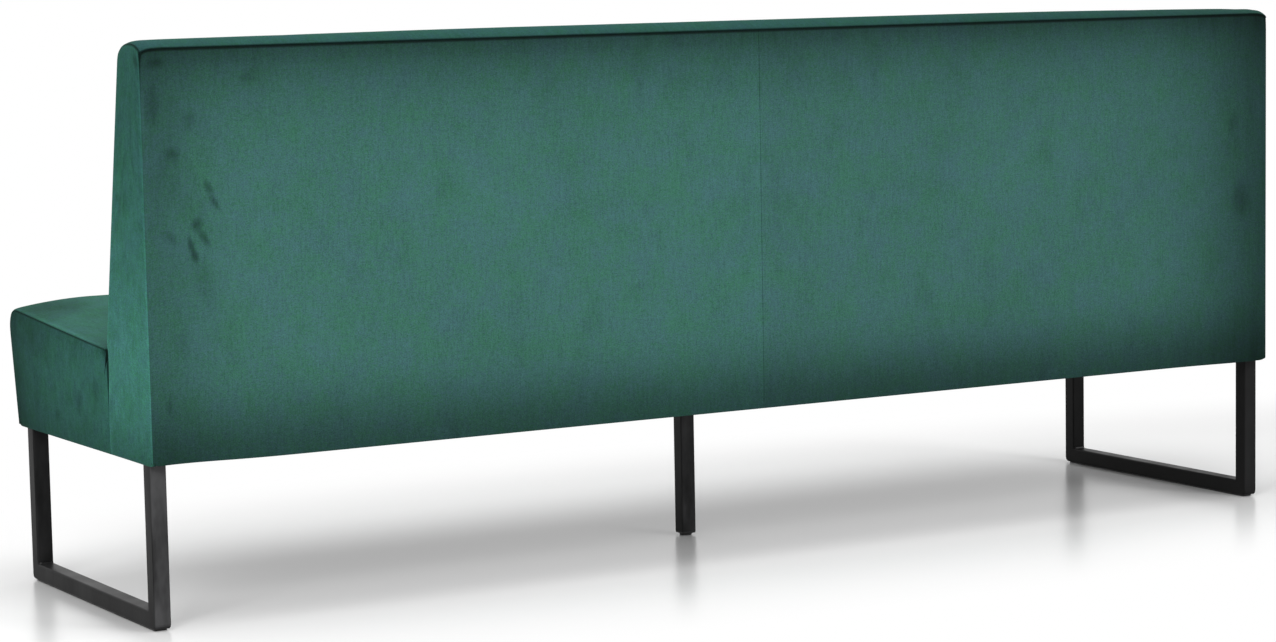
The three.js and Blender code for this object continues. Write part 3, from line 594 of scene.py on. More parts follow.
def sewPanel(name, face, spans, outward, values, local):
    # a flat cloth, bent over its face and turned in at its four edges: left, right, low, high
    kinds = [edgeKinds[kind] for kind in values["edges"]]
    left, right, low, high = kinds
    step, fine = values.get("step", clothCut["step"]), values.get("fine", ((), ()))
    marks = [[measure / 1000 for measure in mark[:4]] + [math.radians(mark[4]), mark[5]]
             for mark in values.get("marks", ())]
    totals = (clothLength(spans[0], left, right), clothLength(spans[1], low, high))
    linesU = clothLines(totals[0], left, right, step, fine[0])
    linesV = clothLines(totals[1], low, high, step, fine[1])
    bm = bmesh.new()
    bmesh.ops.create_grid(bm, x_segments=len(linesU) - 1, y_segments=len(linesV) - 1, size=0.5)
    uvLayer = bm.loops.layers.uv.new("cloth")
    layers = {label: bm.verts.layers.float.new(label)
              for label in ("seamDistance", "seamRun", "rim", "crush", "free")}
    reach = clothCut["probe"]
    threads = {}
    for vert in bm.verts:
        runU = linesU[round((vert.co.x + 0.5) * (len(linesU) - 1))]
        runV = linesV[round((vert.co.y + 0.5) * (len(linesV) - 1))]
        threads[vert] = (runU, runV)
        runs = (runU, totals[0] - runU, runV, totals[1] - runV)
        shares = (runV / totals[1], runV / totals[1], runU / totals[0], runU / totals[0])
        heres = [local[index](share) if index in local else kind
                 for index, (kind, share) in enumerate(zip(kinds, shares))]
        sides = [turnedEdge(run, kind, here) for run, kind, here in zip(runs, kinds, heres)]
        placeU = sides[0][0] if runU < totals[0] / 2 else spans[0] - sides[1][0]
        placeV = sides[2][0] if runV < totals[1] / 2 else spans[1] - sides[3][0]
        depth = math.hypot(*(side[1] for side in sides))
        here = face(placeU, placeV)
        alongU = face(min(placeU + reach, spans[0]), placeV) - face(max(placeU - reach, 0), placeV)
        alongV = face(placeU, min(placeV + reach, spans[1])) - face(placeU, max(placeV - reach, 0))
        normal = alongU.cross(alongV).normalized()
        if normal.dot(outward(here)) < 0:
            normal.negate()
        vert.co = here - normal * depth
        seams = [run - kind["tuck"] - kind["radius"] * math.radians(kind["turn"]) * clothCut["foldMiddle"]
                 + edge.get("faded", 0.0) if kind["turn"] else clothCut["noSeam"]
                 for run, kind, edge in zip(runs, kinds, heres)]
        nearest = min(seams)
        rimPlaces = (placeU, spans[0] - placeU, placeV, spans[1] - placeV)
        vert[layers["seamDistance"]] = max(0.0, nearest)
        vert[layers["seamRun"]] = runV if seams.index(nearest) < 2 else runU
        vert[layers["rim"]] = rimPileAndPaintedLightAt(rimPlaces, values["rims"])
        vert[layers["crush"]] = crushAndPaintedShadeAt(placeU, placeV, marks)
        vert[layers["free"]] = max(0.0, min(1.0, (nearest - clothCut["held"]) / clothCut["loosened"]))
    for quad in bm.faces:
        for loop in quad.loops:
            loop[uvLayer].uv = threads[loop.vert]
    bm.faces.ensure_lookup_table()
    sample = bm.faces[(len(linesV) // 2) * (len(linesU) - 1) + len(linesU) // 2]
    sample.normal_update()
    if sample.normal.dot(outward(sample.calc_center_median())) < 0:
        bmesh.ops.reverse_faces(bm, faces=bm.faces[:])
    piece = makeObject(name, bm)
    shadeSmooth(piece)
    return piece


def applyModifiers(piece):
    graph = bpy.context.evaluated_depsgraph_get()
    mesh = bpy.data.meshes.new_from_object(piece.evaluated_get(graph), depsgraph=graph)
    piece.modifiers.clear()
    old = piece.data
    piece.data = mesh
    bpy.data.meshes.remove(old)


def addWall(piece, thickness, offset=-1):
    wall = piece.modifiers.new("wall", "SOLIDIFY")
    wall.thickness = thickness
    wall.offset = offset
    applyModifiers(piece)


def dress(piece, material, node=None, body="bench"):
    # its finish, the body it rides on, and the node it stands in for
    piece.data.materials.append(material)
    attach(piece, body)
    if node:
        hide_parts(node)


# the cloth is pulled over foam: sewn edges stay, the rest is pushed out and finds its own waves
stretchOver = {"frames": 20, "freedom": 1.5, "cloth": {
    "quality": 6, "mass": 0.02, "tension_stiffness": 20.0, "compression_stiffness": 20.0,
    "shear_stiffness": 10.0, "bending_stiffness": 0.6, "vertex_group_mass": "sewn", "pin_stiffness": 1.0,
    "use_pressure": True}}


def stretchCloth(piece, push, slack, reach):
    start = [vert.co.copy() for vert in piece.data.vertices]
    free = [value.value for value in piece.data.attributes["free"].data]
    sewn = piece.vertex_groups.new(name="sewn")
    for index, share in enumerate(free):
        if share < 1:
            sewn.add([index], 1 - share, "REPLACE")
    cloth = piece.modifiers.new("cloth", "CLOTH")
    settings = cloth.settings
    given = {**stretchOver["cloth"], "shrink_min": -slack, "uniform_pressure_force": push}
    for label, value in given.items():
        setattr(settings, label, value)
    settings.effector_weights.gravity = 0
    cloth.point_cache.frame_start = 1
    cloth.point_cache.frame_end = stretchOver["frames"]
    for number in range(1, stretchOver["frames"] + 1):
        scene.frame_set(number)
    graph = bpy.context.evaluated_depsgraph_get()
    settled = [vert.co.copy() for vert in piece.evaluated_get(graph).data.vertices]
    piece.modifiers.clear()
    piece.vertex_groups.clear()
    scene.frame_set(1)
    # the padding lets the cloth move no further than its reach
    furthest = max((after - before).length for before, after in zip(start, settled))
    kept = min(1.0, reach / max(furthest, 1e-6))
    for vert, before, after, share in zip(piece.data.vertices, start, settled, free):
        vert.co = before + (after - before) * kept * min(1.0, share * stretchOver["freedom"])
    print("  cloth stretched over", piece.name, "moved", round(furthest * 1000, 1), "mm, kept",
          round(kept, 2))


def makeCover(name, face, spans, outward, values, node, local=None):
    # sewn, stretched, given its thickness and its velvet
    cover = sewPanel(name, face, spans, outward, values, local or {})
    stretchCloth(cover, **values["pull"])
    smooth = cover.modifiers.new("smooth", "SUBSURF")
    smooth.levels = smooth.render_levels = 1
    smooth.boundary_smooth = "PRESERVE_CORNERS"
    addWall(cover, clothCut["thickness"])
    cover.data.attributes.remove(cover.data.attributes["free"])
    shadeSmooth(cover)
    dress(cover, velvet("velvet_" + name.replace("_velvet", ""), values), node)


# back of the bench, two tall panels joined in the middle;
# each mark is a place and size in millimetres, a turn in degrees and a strength; most are crushed pile and a
# few paint shade
rearBoth = {"edges": ("box", "flat", "hem", "under"), "fill": 0.7,
            "pull": {"push": 0.01, "slack": 0.0003, "reach": 0.0009}}
# rear edges: painted shade towards the top, bottom and ends, so the panel is lightest at mid-height
rearRimPileAndPaintedLights = (None, (0.60, 0.101, 2.1), (0.70, 0.081, 1.1))
rearRimPileAndPaintedLightsFar = (None, (0.62, 0.101, 2.1), (0.70, 0.081, 1.1))
# the near and far panels differ in brightness as painted light, the far one a little darker
rearPanels = {
    "near": {
        **rearBoth, "tone": (1.04, 1.03, 1.04), "hemLift": 0.0026, "fine": (((0.03, 0.14),), ((0.33, 0.50),)),
        "rims": ((0.30, 0.107, 1.9),) + rearRimPileAndPaintedLights,
        "marks": (
            (35, 500, 50, 150, 0, 0.4), (50, 520, 16, 22, 35, 0.8), (114, 462, 9, 18, 28, 0.7),
            (124, 438, 6, 18, 28, 0.8), (91, 402, 14, 12, 40, 0.75), (103, 380, 7, 22, 30, 0.8),
            (80, 366, 5.5, 18, 14, 0.95), (86, 350, 6.5, 14, 20, 1.0), (44, 382, 10, 20, 35, 0.55),
            # (28, 672) paints shade into the top corner where three seams meet
            (62, 425, 30, 30, 10, 0.25), (28, 672, 16, 10, 0, 0.8), (34, 103, 5, 26, -8, 0.5),
            (28, 279, 6, 22, 0, 0.6), (192, 646, 22, 12, 20, 0.5), (82, 575, 16, 20, 0, 0.5),
            (939, 246, 30, 12, 10, 0.3), (1050, 609, 28, 22, 0, 0.25), (876, 223, 14, 8, 30, 0.3),
            (20, 600, 18, 50, 0, 0.6), (105, 300, 30, 60, 10, 0.35), (60, 200, 22, 50, 0, 0.35)),
    },
    "far": {
        **rearBoth, "tone": (0.99, 0.95, 0.98), "hemLift": -0.0016,
        "rims": ((0.66, 0.175, 1.6),) + rearRimPileAndPaintedLightsFar,
        "marks": (
            (65, 327, 30, 50, 0, 0.5), (180, 560, 6, 34, 50, 0.4), (150, 520, 5, 30, 40, 0.35),
            (90, 480, 30, 30, 0, 0.35)),
    },
}


def rearFace(side, hemLift):
    height = shape["topSeamHeight"] - shape["hemHeight"]

    def face(u, v):
        x = side * (shape["seamX"] - u)
        rise = shape["rearCrown"] * easeIn(min(v, height - v), shape["panelRoll"])
        rise *= easeIn(u, shape["panelRoll"])
        pulled = 1 - cornerDropAt(u) / height
        lifted = hemLift * math.exp(-((u - shape["hemLiftAt"]) / shape["hemWave"]) ** 2)
        lifted *= 1 - easeIn(v, shape["hemWave"])
        lifted += hemDrawnAt(u, v)
        return toBench(x, Vector((-rise - puffAt(u, v), shape["hemHeight"] + v * pulled + lifted)))

    return face, (shape["seamX"], height)


for end, side in ends:
    values = rearPanels[end]
    face, spans = rearFace(side, values["hemLift"])
    makeCover(f"rear_velvet_{end}", face, spans, lambda place: Vector((0, 1, 0)), values,
              f"back_rear_panel_{end}", {0: lambda share: cornerSeamAt((1 - share) * spans[1])})
print("rear panels sewn")


# strip over the top of the back
# the strip's low brightness is painted shade, as little light falls on its top, and its first edge entry
# paints it darker towards the far end
topStrip = {"tone": (0.40, 0.51, 0.51), "brushed": 0.1, "mottle": 0.5, "fill": 0.7,
            "edges": ("soft", "soft", "lip", "lip"),
            "rims": ((0.36, 1.2, 1.6), None) + 2 * ((0.2, 0.006, 1.5),),
            "pull": {"push": 0.02, "slack": 0.0005, "reach": 0.0006}}


def stripSection(depth, x):
    # height of the strip's face, from the rear seam to the front one, where it rolls down
    crown = crownAt(x) * math.sin(math.pi * min(depth / shape["topThickness"], 1.0))
    rolled = max(0.0, 1 - (shape["topThickness"] - depth) / shape["frontSeamRound"])
    drop = shape["frontSeamDrop"] * rolled ** 2 + cornerDropAt(shape["seamX"] - abs(x), depth)
    return shape["stripHeight"] + crown - drop


def stripFace(u, v):
    x = u - shape["seamX"]
    return toBench(x, Vector((v, stripSection(v, x))))


makeCover("top_velvet_strip", stripFace, (2 * shape["seamX"], shape["topThickness"]),
          lambda place: Vector((0, 0, 1)), topStrip, "back_top_strip")
print("top strip sewn")


# front of the back rest
backCover = {"tone": (0.92, 1.02, 0.98), "edges": ("box", "flat", "plain", "under"), "fill": 0.7,
             "rims": ((0.25, 0.05, 1.5), None, (0.5, 0.09, 1.4), (0.3, 0.05, 1.3)),
             "pull": {"push": 0.05, "slack": 0.001, "reach": 0.0022}}


def backFace(side):
    slope = backPath.lengths[0]

    def face(u, v):
        run = backPath.total - v
        swell = math.sin(math.pi * min(run / slope, 1.0))
        rise = shape["backCrown"] * swell * easeIn(u, shape["backEndSwell"]) + puffAt(u)
        return toBench(side * (shape["seamX"] - u), bent(backPath, run, -rise))

    return face


for end, side in ends:
    makeCover(f"back_velvet_{end}", backFace(side), (shape["seamX"], backPath.total),
              lambda place: Vector((0, -1, 0.2)), backCover, f"back_front_cover_{end}")
print("back rest covers sewn")


# seat covers, one cloth from the hem over the front to the back rest
# the seat's lower brightness is painted shade; its negative first edge entry paints a highlight along the end
# ridge, and its one mark paints shade on the top near the end
seatCover = {"tone": (0.73, 0.83, 0.77), "mottle": 0.4, "edges": ("ridge", "flat", "hem", "crevice"),
             "fill": 0.75, "rims": ((-0.30, 0.005, 2.0), None, (0.45, 0.08, 1.6), (0.45, 0.05, 1.4)),
             "marks": ((30, 280, 90, 130, 0, 0.7),), "noseDrop": 0.06,
             "pull": {"push": 0.05, "slack": 0.001, "reach": 0.0022}}


def flareAt(depth):
    # the seat is a little longer at the front than where it meets the back
    share = (depth - shape["seatRearDepth"]) / (shape["noseDepth"] - shape["seatRearDepth"])
    return shape["seatFlare"] * easeIn(share, 1.0)


def seatFace(side):
    def face(u, v):
        swell = math.sin(math.pi * v / seatPath.total)
        rise = shape["seatCrown"] * swell * easeIn(u, shape["seatEndSwell"]) + puffAt(u, v)
        section = bent(seatPath, v, rise) + Vector((0, hemDrawnAt(u, v)))
        flare = flareAt(section.x) * (1 - easeIn(u, shape["seatFlareReach"]))
        return toBench(side * (shape["seamX"] + flare - u), section)

    return face


def seatOutward(place):
    below = place.z < shape["noseHeight"] - seatCover["noseDrop"]
    return Vector((0, -1, 0.15)) if below else Vector((0, -0.3, 1))


for end, side in ends:
    makeCover(f"seat_velvet_{end}", seatFace(side), (shape["seamX"], seatPath.total), seatOutward, seatCover,
              f"seat_cover_{end}")
print("seat covers sewn")


# ends of the seat and of the back, each stretched between four edge lines read from 0 to 1
def patch(side, lines):
    low, high, rear, front = (lines[key] for key in ("low", "high", "rear", "front"))
    spans, creaseEdge, fullness = lines["spans"], lines["crease"][0], lines["fullness"]

    def face(u, v):
        ahead, up = u / spans[0], v / spans[1]
        section = (low(ahead) * (1 - up) + high(ahead) * up + rear(up) * (1 - ahead) + front(up) * ahead
                   - low(0) * (1 - ahead) * (1 - up) - low(1) * ahead * (1 - up)
                   - high(0) * (1 - ahead) * up - high(1) * ahead * up)
        section.y += hemDrawnAt(spans[0] - u if creaseEdge == 0 else u, v)
        swell = [max(0.0, math.sin(math.pi * share)) ** lines["swellPower"] for share in (ahead, up)]
        gaps = [u, spans[0] - u, v, spans[1] - v]
        gaps[creaseEdge] += shape["puffRound"] * creaseAt(section.y)["faded"] / creaseFade["faded"]
        out = shape["seamX"] + fullness * swell[0] * swell[1] + puffAt(*gaps)
        if creaseEdge == 0:
            out += flareAt(section.x) - dimpleAt(u, spans[1] - v)
        return Vector((side * out, rearY - section.x, section.y))

    return face


# where the seat's side seam runs into the back, the corner is drawn in
drawnCorner = {"depth": 0.023, "wide": 0.019, "tall": 0.014, "foamReach": 0.035, "foamDepth": 0.021}


def dimpleAt(across, down):
    away = (across / drawnCorner["wide"]) ** 2 + (down / drawnCorner["tall"]) ** 2
    return drawnCorner["depth"] * math.exp(-away)


creaseFade = {"deep": 0.442, "shallow": 0.350, "shallowRadius": 0.0006, "swap": 0.010, "faded": 0.0042}


def creaseAt(height):
    # the crease between seat and back closes towards the hem, and above the seat it is a plain seam
    share = easeStep((height - creaseFade["shallow"]) / (creaseFade["deep"] - creaseFade["shallow"]))
    deep, seam = edgeKinds["crease"], edgeKinds["box"]
    radius = creaseFade["shallowRadius"] + (deep["radius"] - creaseFade["shallowRadius"]) * share
    above = easeStep((height - shape["seatRearHeight"]) / creaseFade["swap"])
    return {"radius": radius * (1 - above) + seam["radius"] * above,
            "turn": deep["turn"] * (1 - above) + seam["turn"] * above, "closed": seam["closed"] * above,
            "faded": creaseFade["faded"] * (1 - share) + seam["faded"] * above}


def easeStep(share):
    share = max(0.0, min(share, 1.0))
    return share * share * (3 - 2 * share)


noseMiddle = seatPath.lengths[0] + seatPath.lengths[1] / 2
seatHem = shape["hemHeight"]
bandTop = stripSection(shape["topThickness"], shape["seamX"])


def bandFront(share):
    height = seatHem + (bandTop - seatHem) * share
    if height <= shape["seatRearHeight"]:
        return Vector((shape["backDepth"], height))
    lean = (height - shape["seatRearHeight"]) / (bandTop - shape["seatRearHeight"])
    return Vector((shape["backDepth"] + (shape["topThickness"] - shape["backDepth"]) * lean, height))


endBoth = {"step": 0.010, "brushed": 0.32, "mottle": 1.0, "fill": 0.6, "swellPower": 0.6,
           "pull": {"push": 0.02, "slack": 0.0005, "reach": 0.0010}}
hemRun = shape["hemDepth"] - shape["seatRearDepth"]
endPanels = {
    "seat_end": {
        **endBoth,
        "low": lambda u: Vector((shape["seatRearDepth"] + hemRun * u, seatHem)),
        "high": lambda u: seatPath.at(seatPath.total - (seatPath.total - noseMiddle) * u),
        "rear": lambda v: Vector((shape["seatRearDepth"], seatHem + (shape["seatRearHeight"] - seatHem) * v)),
        "front": lambda v: seatPath.at(noseMiddle * v),
        "spans": (0.46, 0.205), "edges": ("crease", "box", "hem", "sunk"), "node": "seat_end_panel",
        "fine": (((0.0, 0.05),), ((0.165, 0.215),)), "local": {},
        # darker than the side band as painted shade; the negative first edge entry paints a highlight along
        # the crease
        "crease": (0, shape["seatRearHeight"]), "tone": (0.73, 0.92, 0.88), "fullness": 0.004,
        "rims": ((-0.10, 0.06, 1.5), (0.66, 0.12, 1.2), (0.35, 0.07, 1.5), (0.25, 0.035, 1.3)),
        "marks": (
            (310, 165, 100, 50, 0, 0.5), (130, 80, 16, 30, 10, 0.6), (240, 45, 18, 14, 0, 0.5),
            # (8, 197) paints shade into the drawn-in corner below the end of the seat's side seam
            (50, 120, 20, 30, 0, 0.5), (8, 197, 22, 14, 20, 1.0)),
    },
    "back_end": {
        **endBoth,
        "low": lambda u: Vector((shape["backDepth"] * u, seatHem)),
        "high": lambda u: Vector((shape["topThickness"] * u,
                                  stripSection(shape["topThickness"] * u, shape["seamX"]))),
        "rear": lambda v: Vector((0, seatHem + (stripSection(0.0, shape["seamX"]) - seatHem) * v)),
        "front": bandFront,
        "spans": (0.14, 0.695), "edges": ("box", "crease", "hem", "soft"), "node": "back_side_band",
        "local": {0: lambda share: cornerSeamAt((1 - share) * (bandTop - seatHem))},
        # much lighter than the other panels as painted light; the two negative edge entries paint highlight
        # lines along the rear and front edges, and the last one darkens it towards the top
        "crease": (1, bandTop), "tone": (1.37, 1.75, 1.67), "fullness": 0.002,
        "rims": ((-0.22, 0.005, 2.0), (-0.25, 0.006, 2.0), (0.55, 0.08, 1.4), (0.58, 0.47, 2.4)),
        "marks": (
            # (20, 672) paints shade into the top corner where three seams meet
            (135, 79, 10, 30, 0, 0.5), (20, 672, 16, 14, 0, 0.7)),
    },
}
for end, side in ends:
    for name, values in endPanels.items():
        creaseEdge, top = values["crease"]
        local = {creaseEdge: lambda share: creaseAt(seatHem + (top - seatHem) * share), **values["local"]}
        makeCover(f"{name}_velvet_{end}", patch(side, values), values["spans"],
                  lambda place: Vector((side, 0, 0)), values, f"{values['node']}_{end}", local)
print("end panels sewn")


# foam under the covers, cut a little smaller than the space it fills
foamCut = {"voxel": 0.012, "inset": 0.0035, "smoothing": 6}
# points nearer than this are one point, in flat work and in spun work
mergeNear = 0.00005
mergeSpun = 0.00002


def nipFoam(foam):
    # kept clear of the corners where the covers are drawn in
    for vert in foam.data.vertices:
        corner = Vector((math.copysign(shape["seamX"], vert.co.x), rearY - shape["seatRearDepth"],
                         shape["seatRearHeight"]))
        away = (vert.co - corner).length / drawnCorner["foamReach"]
        vert.co.x -= math.copysign(drawnCorner["foamDepth"] * math.exp(-away ** 2), vert.co.x)


def cutFoam(name, node):
    bm = bmesh.new()
    bm.from_mesh(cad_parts[node].data)
    bmesh.ops.remove_doubles(bm, verts=bm.verts[:], dist=mergeNear)
    foam = makeObject(name, bm)
    remesh = foam.modifiers.new("cells", "REMESH")
    remesh.mode = "VOXEL"
    remesh.voxel_size = foamCut["voxel"]
    smooth = foam.modifiers.new("edges", "SMOOTH")
    smooth.iterations = foamCut["smoothing"]
    inset = foam.modifiers.new("inset", "DISPLACE")
    inset.mid_level = 0.0
    inset.strength = -foamCut["inset"]
    applyModifiers(foam)
    nipFoam(foam)
    foam.data.materials.clear()
    shadeSmooth(foam)
    dress(foam, plain["cut_foam"], node)


cutFoam("seat_foam_pad", "seat_foam")
cutFoam("back_foam_pad", "back_foam")
print("foam cut")


# black cloth under the seat, stapled to the rails
dustCloth = {"sag": 0.0012, "step": 0.03, "thickness": 0.0003, "stapleSpace": 0.075, "stapleInset": 0.012,
             "stapleMargin": 0.05, "staple": (0.0105, 0.0009, 0.0006)}


def fitTo(bm, size, place, verts, turn=0.0):
    # a shape of unit size, scaled, turned about the upright axis and put in its place
    bmesh.ops.scale(bm, vec=size, verts=verts)
    bmesh.ops.rotate(bm, cent=(0, 0, 0), matrix=Matrix.Rotation(turn, 3, "Z"), verts=verts)
    bmesh.ops.translate(bm, vec=place, verts=verts)


def spread(start, finish, values):
    # even places from end to end, with a margin before the first and after the last
    room = finish - start - 2 * values["stapleMargin"]
    count = round(room / values["stapleSpace"])
    return [start + values["stapleMargin"] + room * k / count for k in range(count + 1)]


def stapleDustCloth(values):
    low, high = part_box("dust_cover")
    width, length = high.x - low.x, high.y - low.y
    bm = bmesh.new()
    bmesh.ops.create_grid(bm, x_segments=round(width / values["step"]),
                          y_segments=round(length / values["step"]), size=0.5)
    fitTo(bm, (width, length, 1), ((low.x + high.x) / 2, (low.y + high.y) / 2, high.z), bm.verts[:])
    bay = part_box("seat_cross_rail_near")[0].x
    for vert in bm.verts:
        across = abs(math.sin(math.pi * vert.co.x / bay))
        along = math.sin(math.pi * (vert.co.y - low.y) / length)
        vert.co.z -= values["sag"] * across * along
    cloth = makeObject("underside_dust_cloth", bm)
    addWall(cloth, values["thickness"])
    shadeSmooth(cloth)
    dress(cloth, plain["black_dust_cloth"], "dust_cover")

    staples = bmesh.new()
    inset, size = values["stapleInset"], values["staple"]
    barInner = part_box("sled_bar_near")[0].x - inset
    places = [(x, y, 0.0) for x in spread(low.x, high.x, values) for y in (low.y + inset, high.y - inset)]
    places += [(x, y, math.pi / 2) for y in spread(low.y, high.y, values) for x in (-barInner, barInner)]
    for x, y, turn in places:
        made = bmesh.ops.create_cube(staples, size=1.0)["verts"]
        fitTo(staples, size, (x, y, low.z - size[2] / 2), made, turn)
    dress(makeObject("dust_cloth_staples", staples), plain["zinc_plated_steel"])


stapleDustCloth(dustCloth)
print("dust cloth stapled on")


# the covers turned under the rails, up to the edge of the dust cloth
hemTurning = {"outer": (1.1962, -0.3015, 0.3352), "gap": 0.0002, "thickness": 0.0011,
              # the turnings' darker brightness is painted shade, as on the seat
              "tone": (0.70, 0.80, 0.74)}


def ringCorners(left, front, right, rear):
    return (left, front), (right, front), (right, rear), (left, rear)


def turnHems(values):
    low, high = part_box("dust_cover")
    across, front, rear = values["outer"]
    gap = values["gap"]
    outer = ringCorners(-across, front, across, rear)
    inner = ringCorners(low.x - gap, low.y - gap, high.x + gap, high.y + gap)
    bm = bmesh.new()
    uvLayer = bm.loops.layers.uv.new("cloth")
    seamDistance = bm.verts.layers.float.new("seamDistance")
    for label in ("seamRun", "rim", "crush"):
        bm.verts.layers.float.new(label)
    for k in range(4):
        corners = (outer[k], outer[(k + 1) % 4], inner[(k + 1) % 4], inner[k])
        bm.faces.new([bm.verts.new((x, y, high.z)) for x, y in corners])
    bmesh.ops.remove_doubles(bm, verts=bm.verts[:], dist=mergeNear)
    bmesh.ops.recalc_face_normals(bm, faces=bm.faces[:])
    if bm.faces[:][0].normal.z > 0:
        bmesh.ops.reverse_faces(bm, faces=bm.faces[:])
    for vert in bm.verts:
        vert[seamDistance] = clothCut["noSeam"]
    for quad in bm.faces:
        for loop in quad.loops:
            loop[uvLayer].uv = loop.vert.co.xy
    turning = makeObject("hem_turnings", bm)
    addWall(turning, values["thickness"], offset=1)
    dress(turning, velvet("velvet_hem_turnings", values))


turnHems(hemTurning)
print("hems turned under")


# square steel tube, mitred and welded into one sled at each end
sledLeg = {
    "edgeRound": 0.003, "outerCorner": 0.009, "innerCorner": 0.0030, "edgeSegments": 3, "cornerSegments": 4,
    "weldRadius": 0.0030, "weldRipple": 0.00035, "weldStep": 0.0022, "weldEnds": 0.6, "weldSides": 8,
    "weldSink": 0.1, "weldSeed": 7,
    # the dust amounts below are painted light on the faces that look up and back, lightest on the near rear
    # upright where the lamps fall and faint on the far sled
    "dust": {"near": {"front": 0.32, "rear": 1.1, "low": 0.5},
             "far": {"front": 0.1, "rear": 0.12, "low": 0.06}},
}
paintedLightFacing = Vector((0, 0.8, 0.6))


def roundOff(bm, geom, radius, segments, affect="EDGES"):
    bmesh.ops.bevel(bm, geom=geom, offset=radius, offset_type="OFFSET", segments=segments, profile=0.5,
                    affect=affect, material=-1)


def cutAway(bm, place, normal):
    bmesh.ops.bisect_plane(bm, geom=bm.verts[:] + bm.edges[:] + bm.faces[:], dist=1e-6, plane_co=place,
                           plane_no=normal, clear_inner=True)


def fillHoles(bm):
    bmesh.ops.holes_fill(bm, edges=[edge for edge in bm.edges if edge.is_boundary], sides=0)


def weighNormals(piece):
    shadeSmooth(piece, 50)
    weigh = piece.modifiers.new("normals", "WEIGHTED_NORMAL")
    weigh.keep_sharp = True
    applyModifiers(piece)


def sledSolid(end, values):
    runnerLow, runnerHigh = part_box(f"sled_runner_{end}")
    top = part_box(f"sled_upright_rear_{end}")[1].z
    wall = runnerHigh.z - runnerLow.z
    outside = [(runnerLow.y, top), (runnerLow.y, runnerLow.z),
               (runnerHigh.y, runnerLow.z), (runnerHigh.y, top)]
    inside = [(runnerHigh.y - wall, top), (runnerHigh.y - wall, runnerHigh.z),
              (runnerLow.y + wall, runnerHigh.z), (runnerLow.y + wall, top)]
    bm = bmesh.new()
    verts = [bm.verts.new((runnerLow.x, y, z)) for y, z in outside + inside]
    bm.faces.new(verts)
    for corners, radius in ((verts[1:3], values["outerCorner"]), (verts[5:7], values["innerCorner"])):
        roundOff(bm, corners, radius, values["cornerSegments"], "VERTICES")
    raised = bmesh.ops.extrude_face_region(bm, geom=bm.faces[:])["geom"]
    bmesh.ops.translate(bm, vec=(runnerHigh.x - runnerLow.x, 0, 0),
                        verts=[item for item in raised if isinstance(item, bmesh.types.BMVert)])
    long = [edge for edge in bm.edges
            if abs(edge.verts[0].co.x - edge.verts[1].co.x) < 1e-6
            and min(vert.co.z for vert in edge.verts) < top - 1e-6]
    roundOff(bm, long, values["edgeRound"], values["edgeSegments"])
    bmesh.ops.recalc_face_normals(bm, faces=bm.faces[:])
    return bm, Vector((0, runnerLow.y, runnerLow.z)), Vector((0, runnerHigh.y, runnerLow.z))


def paintLightOnBackFaces(piece, amount):
    # painted light on the faces that look up and back, towards the lamps behind the camera
    layer = piece.data.attributes.new("dusty", "FLOAT", "FACE")
    for face, value in zip(piece.data.polygons, layer.data):
        value.value = amount * max(0.0, min(1.0, face.normal.dot(paintedLightFacing)))


def cutPiece(source, cuts, name, node, dust):
    # keep the part in front of each cut, and close it where the saw went through
    bm = source.copy()
    for place, normal in cuts:
        cutAway(bm, place, normal)
        fillHoles(bm)
    piece = makeObject(name, bm)
    weighNormals(piece)
    paintLightOnBackFaces(piece, dust)
    dress(piece, plain["black_powder_coat"], node)


def weldBead(name, runs, values):
    # a bead of overlapping drops along each run, from a round section that swells and shrinks
    bm = bmesh.new()
    drops = random.Random(values["weldSeed"])
    for start, finish in runs:
        start, finish = Vector(start), Vector(finish)
        along = (finish - start).normalized()
        steps = max(2, round((finish - start).length / values["weldStep"]))
        turn = along.to_track_quat("Z", "Y").to_matrix().to_4x4()
        ring = bmesh.ops.create_circle(bm, cap_ends=True, segments=values["weldSides"],
                                       radius=values["weldRadius"] * values["weldEnds"],
                                       matrix=Matrix.Translation(start) @ turn)["verts"]
        front = [face for face in bm.faces if all(vert in ring for vert in face.verts)]
        for step in range(steps):
            grown = bmesh.ops.extrude_face_region(bm, geom=front)["geom"]
            bmesh.ops.delete(bm, geom=[face for face in front if step], context="FACES_ONLY")
            verts = [item for item in grown if isinstance(item, bmesh.types.BMVert)]
            front = [item for item in grown if isinstance(item, bmesh.types.BMFace)]
            centre = start + (finish - start) * (step + 1) / steps
            radius = values["weldRadius"] * (values["weldEnds"] if step == steps - 1 else 1.0)
            radius += values["weldRipple"] * ((step % 2) * 2 - 1 + drops.uniform(-0.5, 0.5))
            for vert in verts:
                offset = vert.co - centre
                offset -= along * offset.dot(along)
                vert.co = centre + offset.normalized() * radius
    bmesh.ops.recalc_face_normals(bm, faces=bm.faces[:])
    piece = makeObject(name, bm)
    shadeSmooth(piece)
    dress(piece, plain["weld_under_powder_coat"])


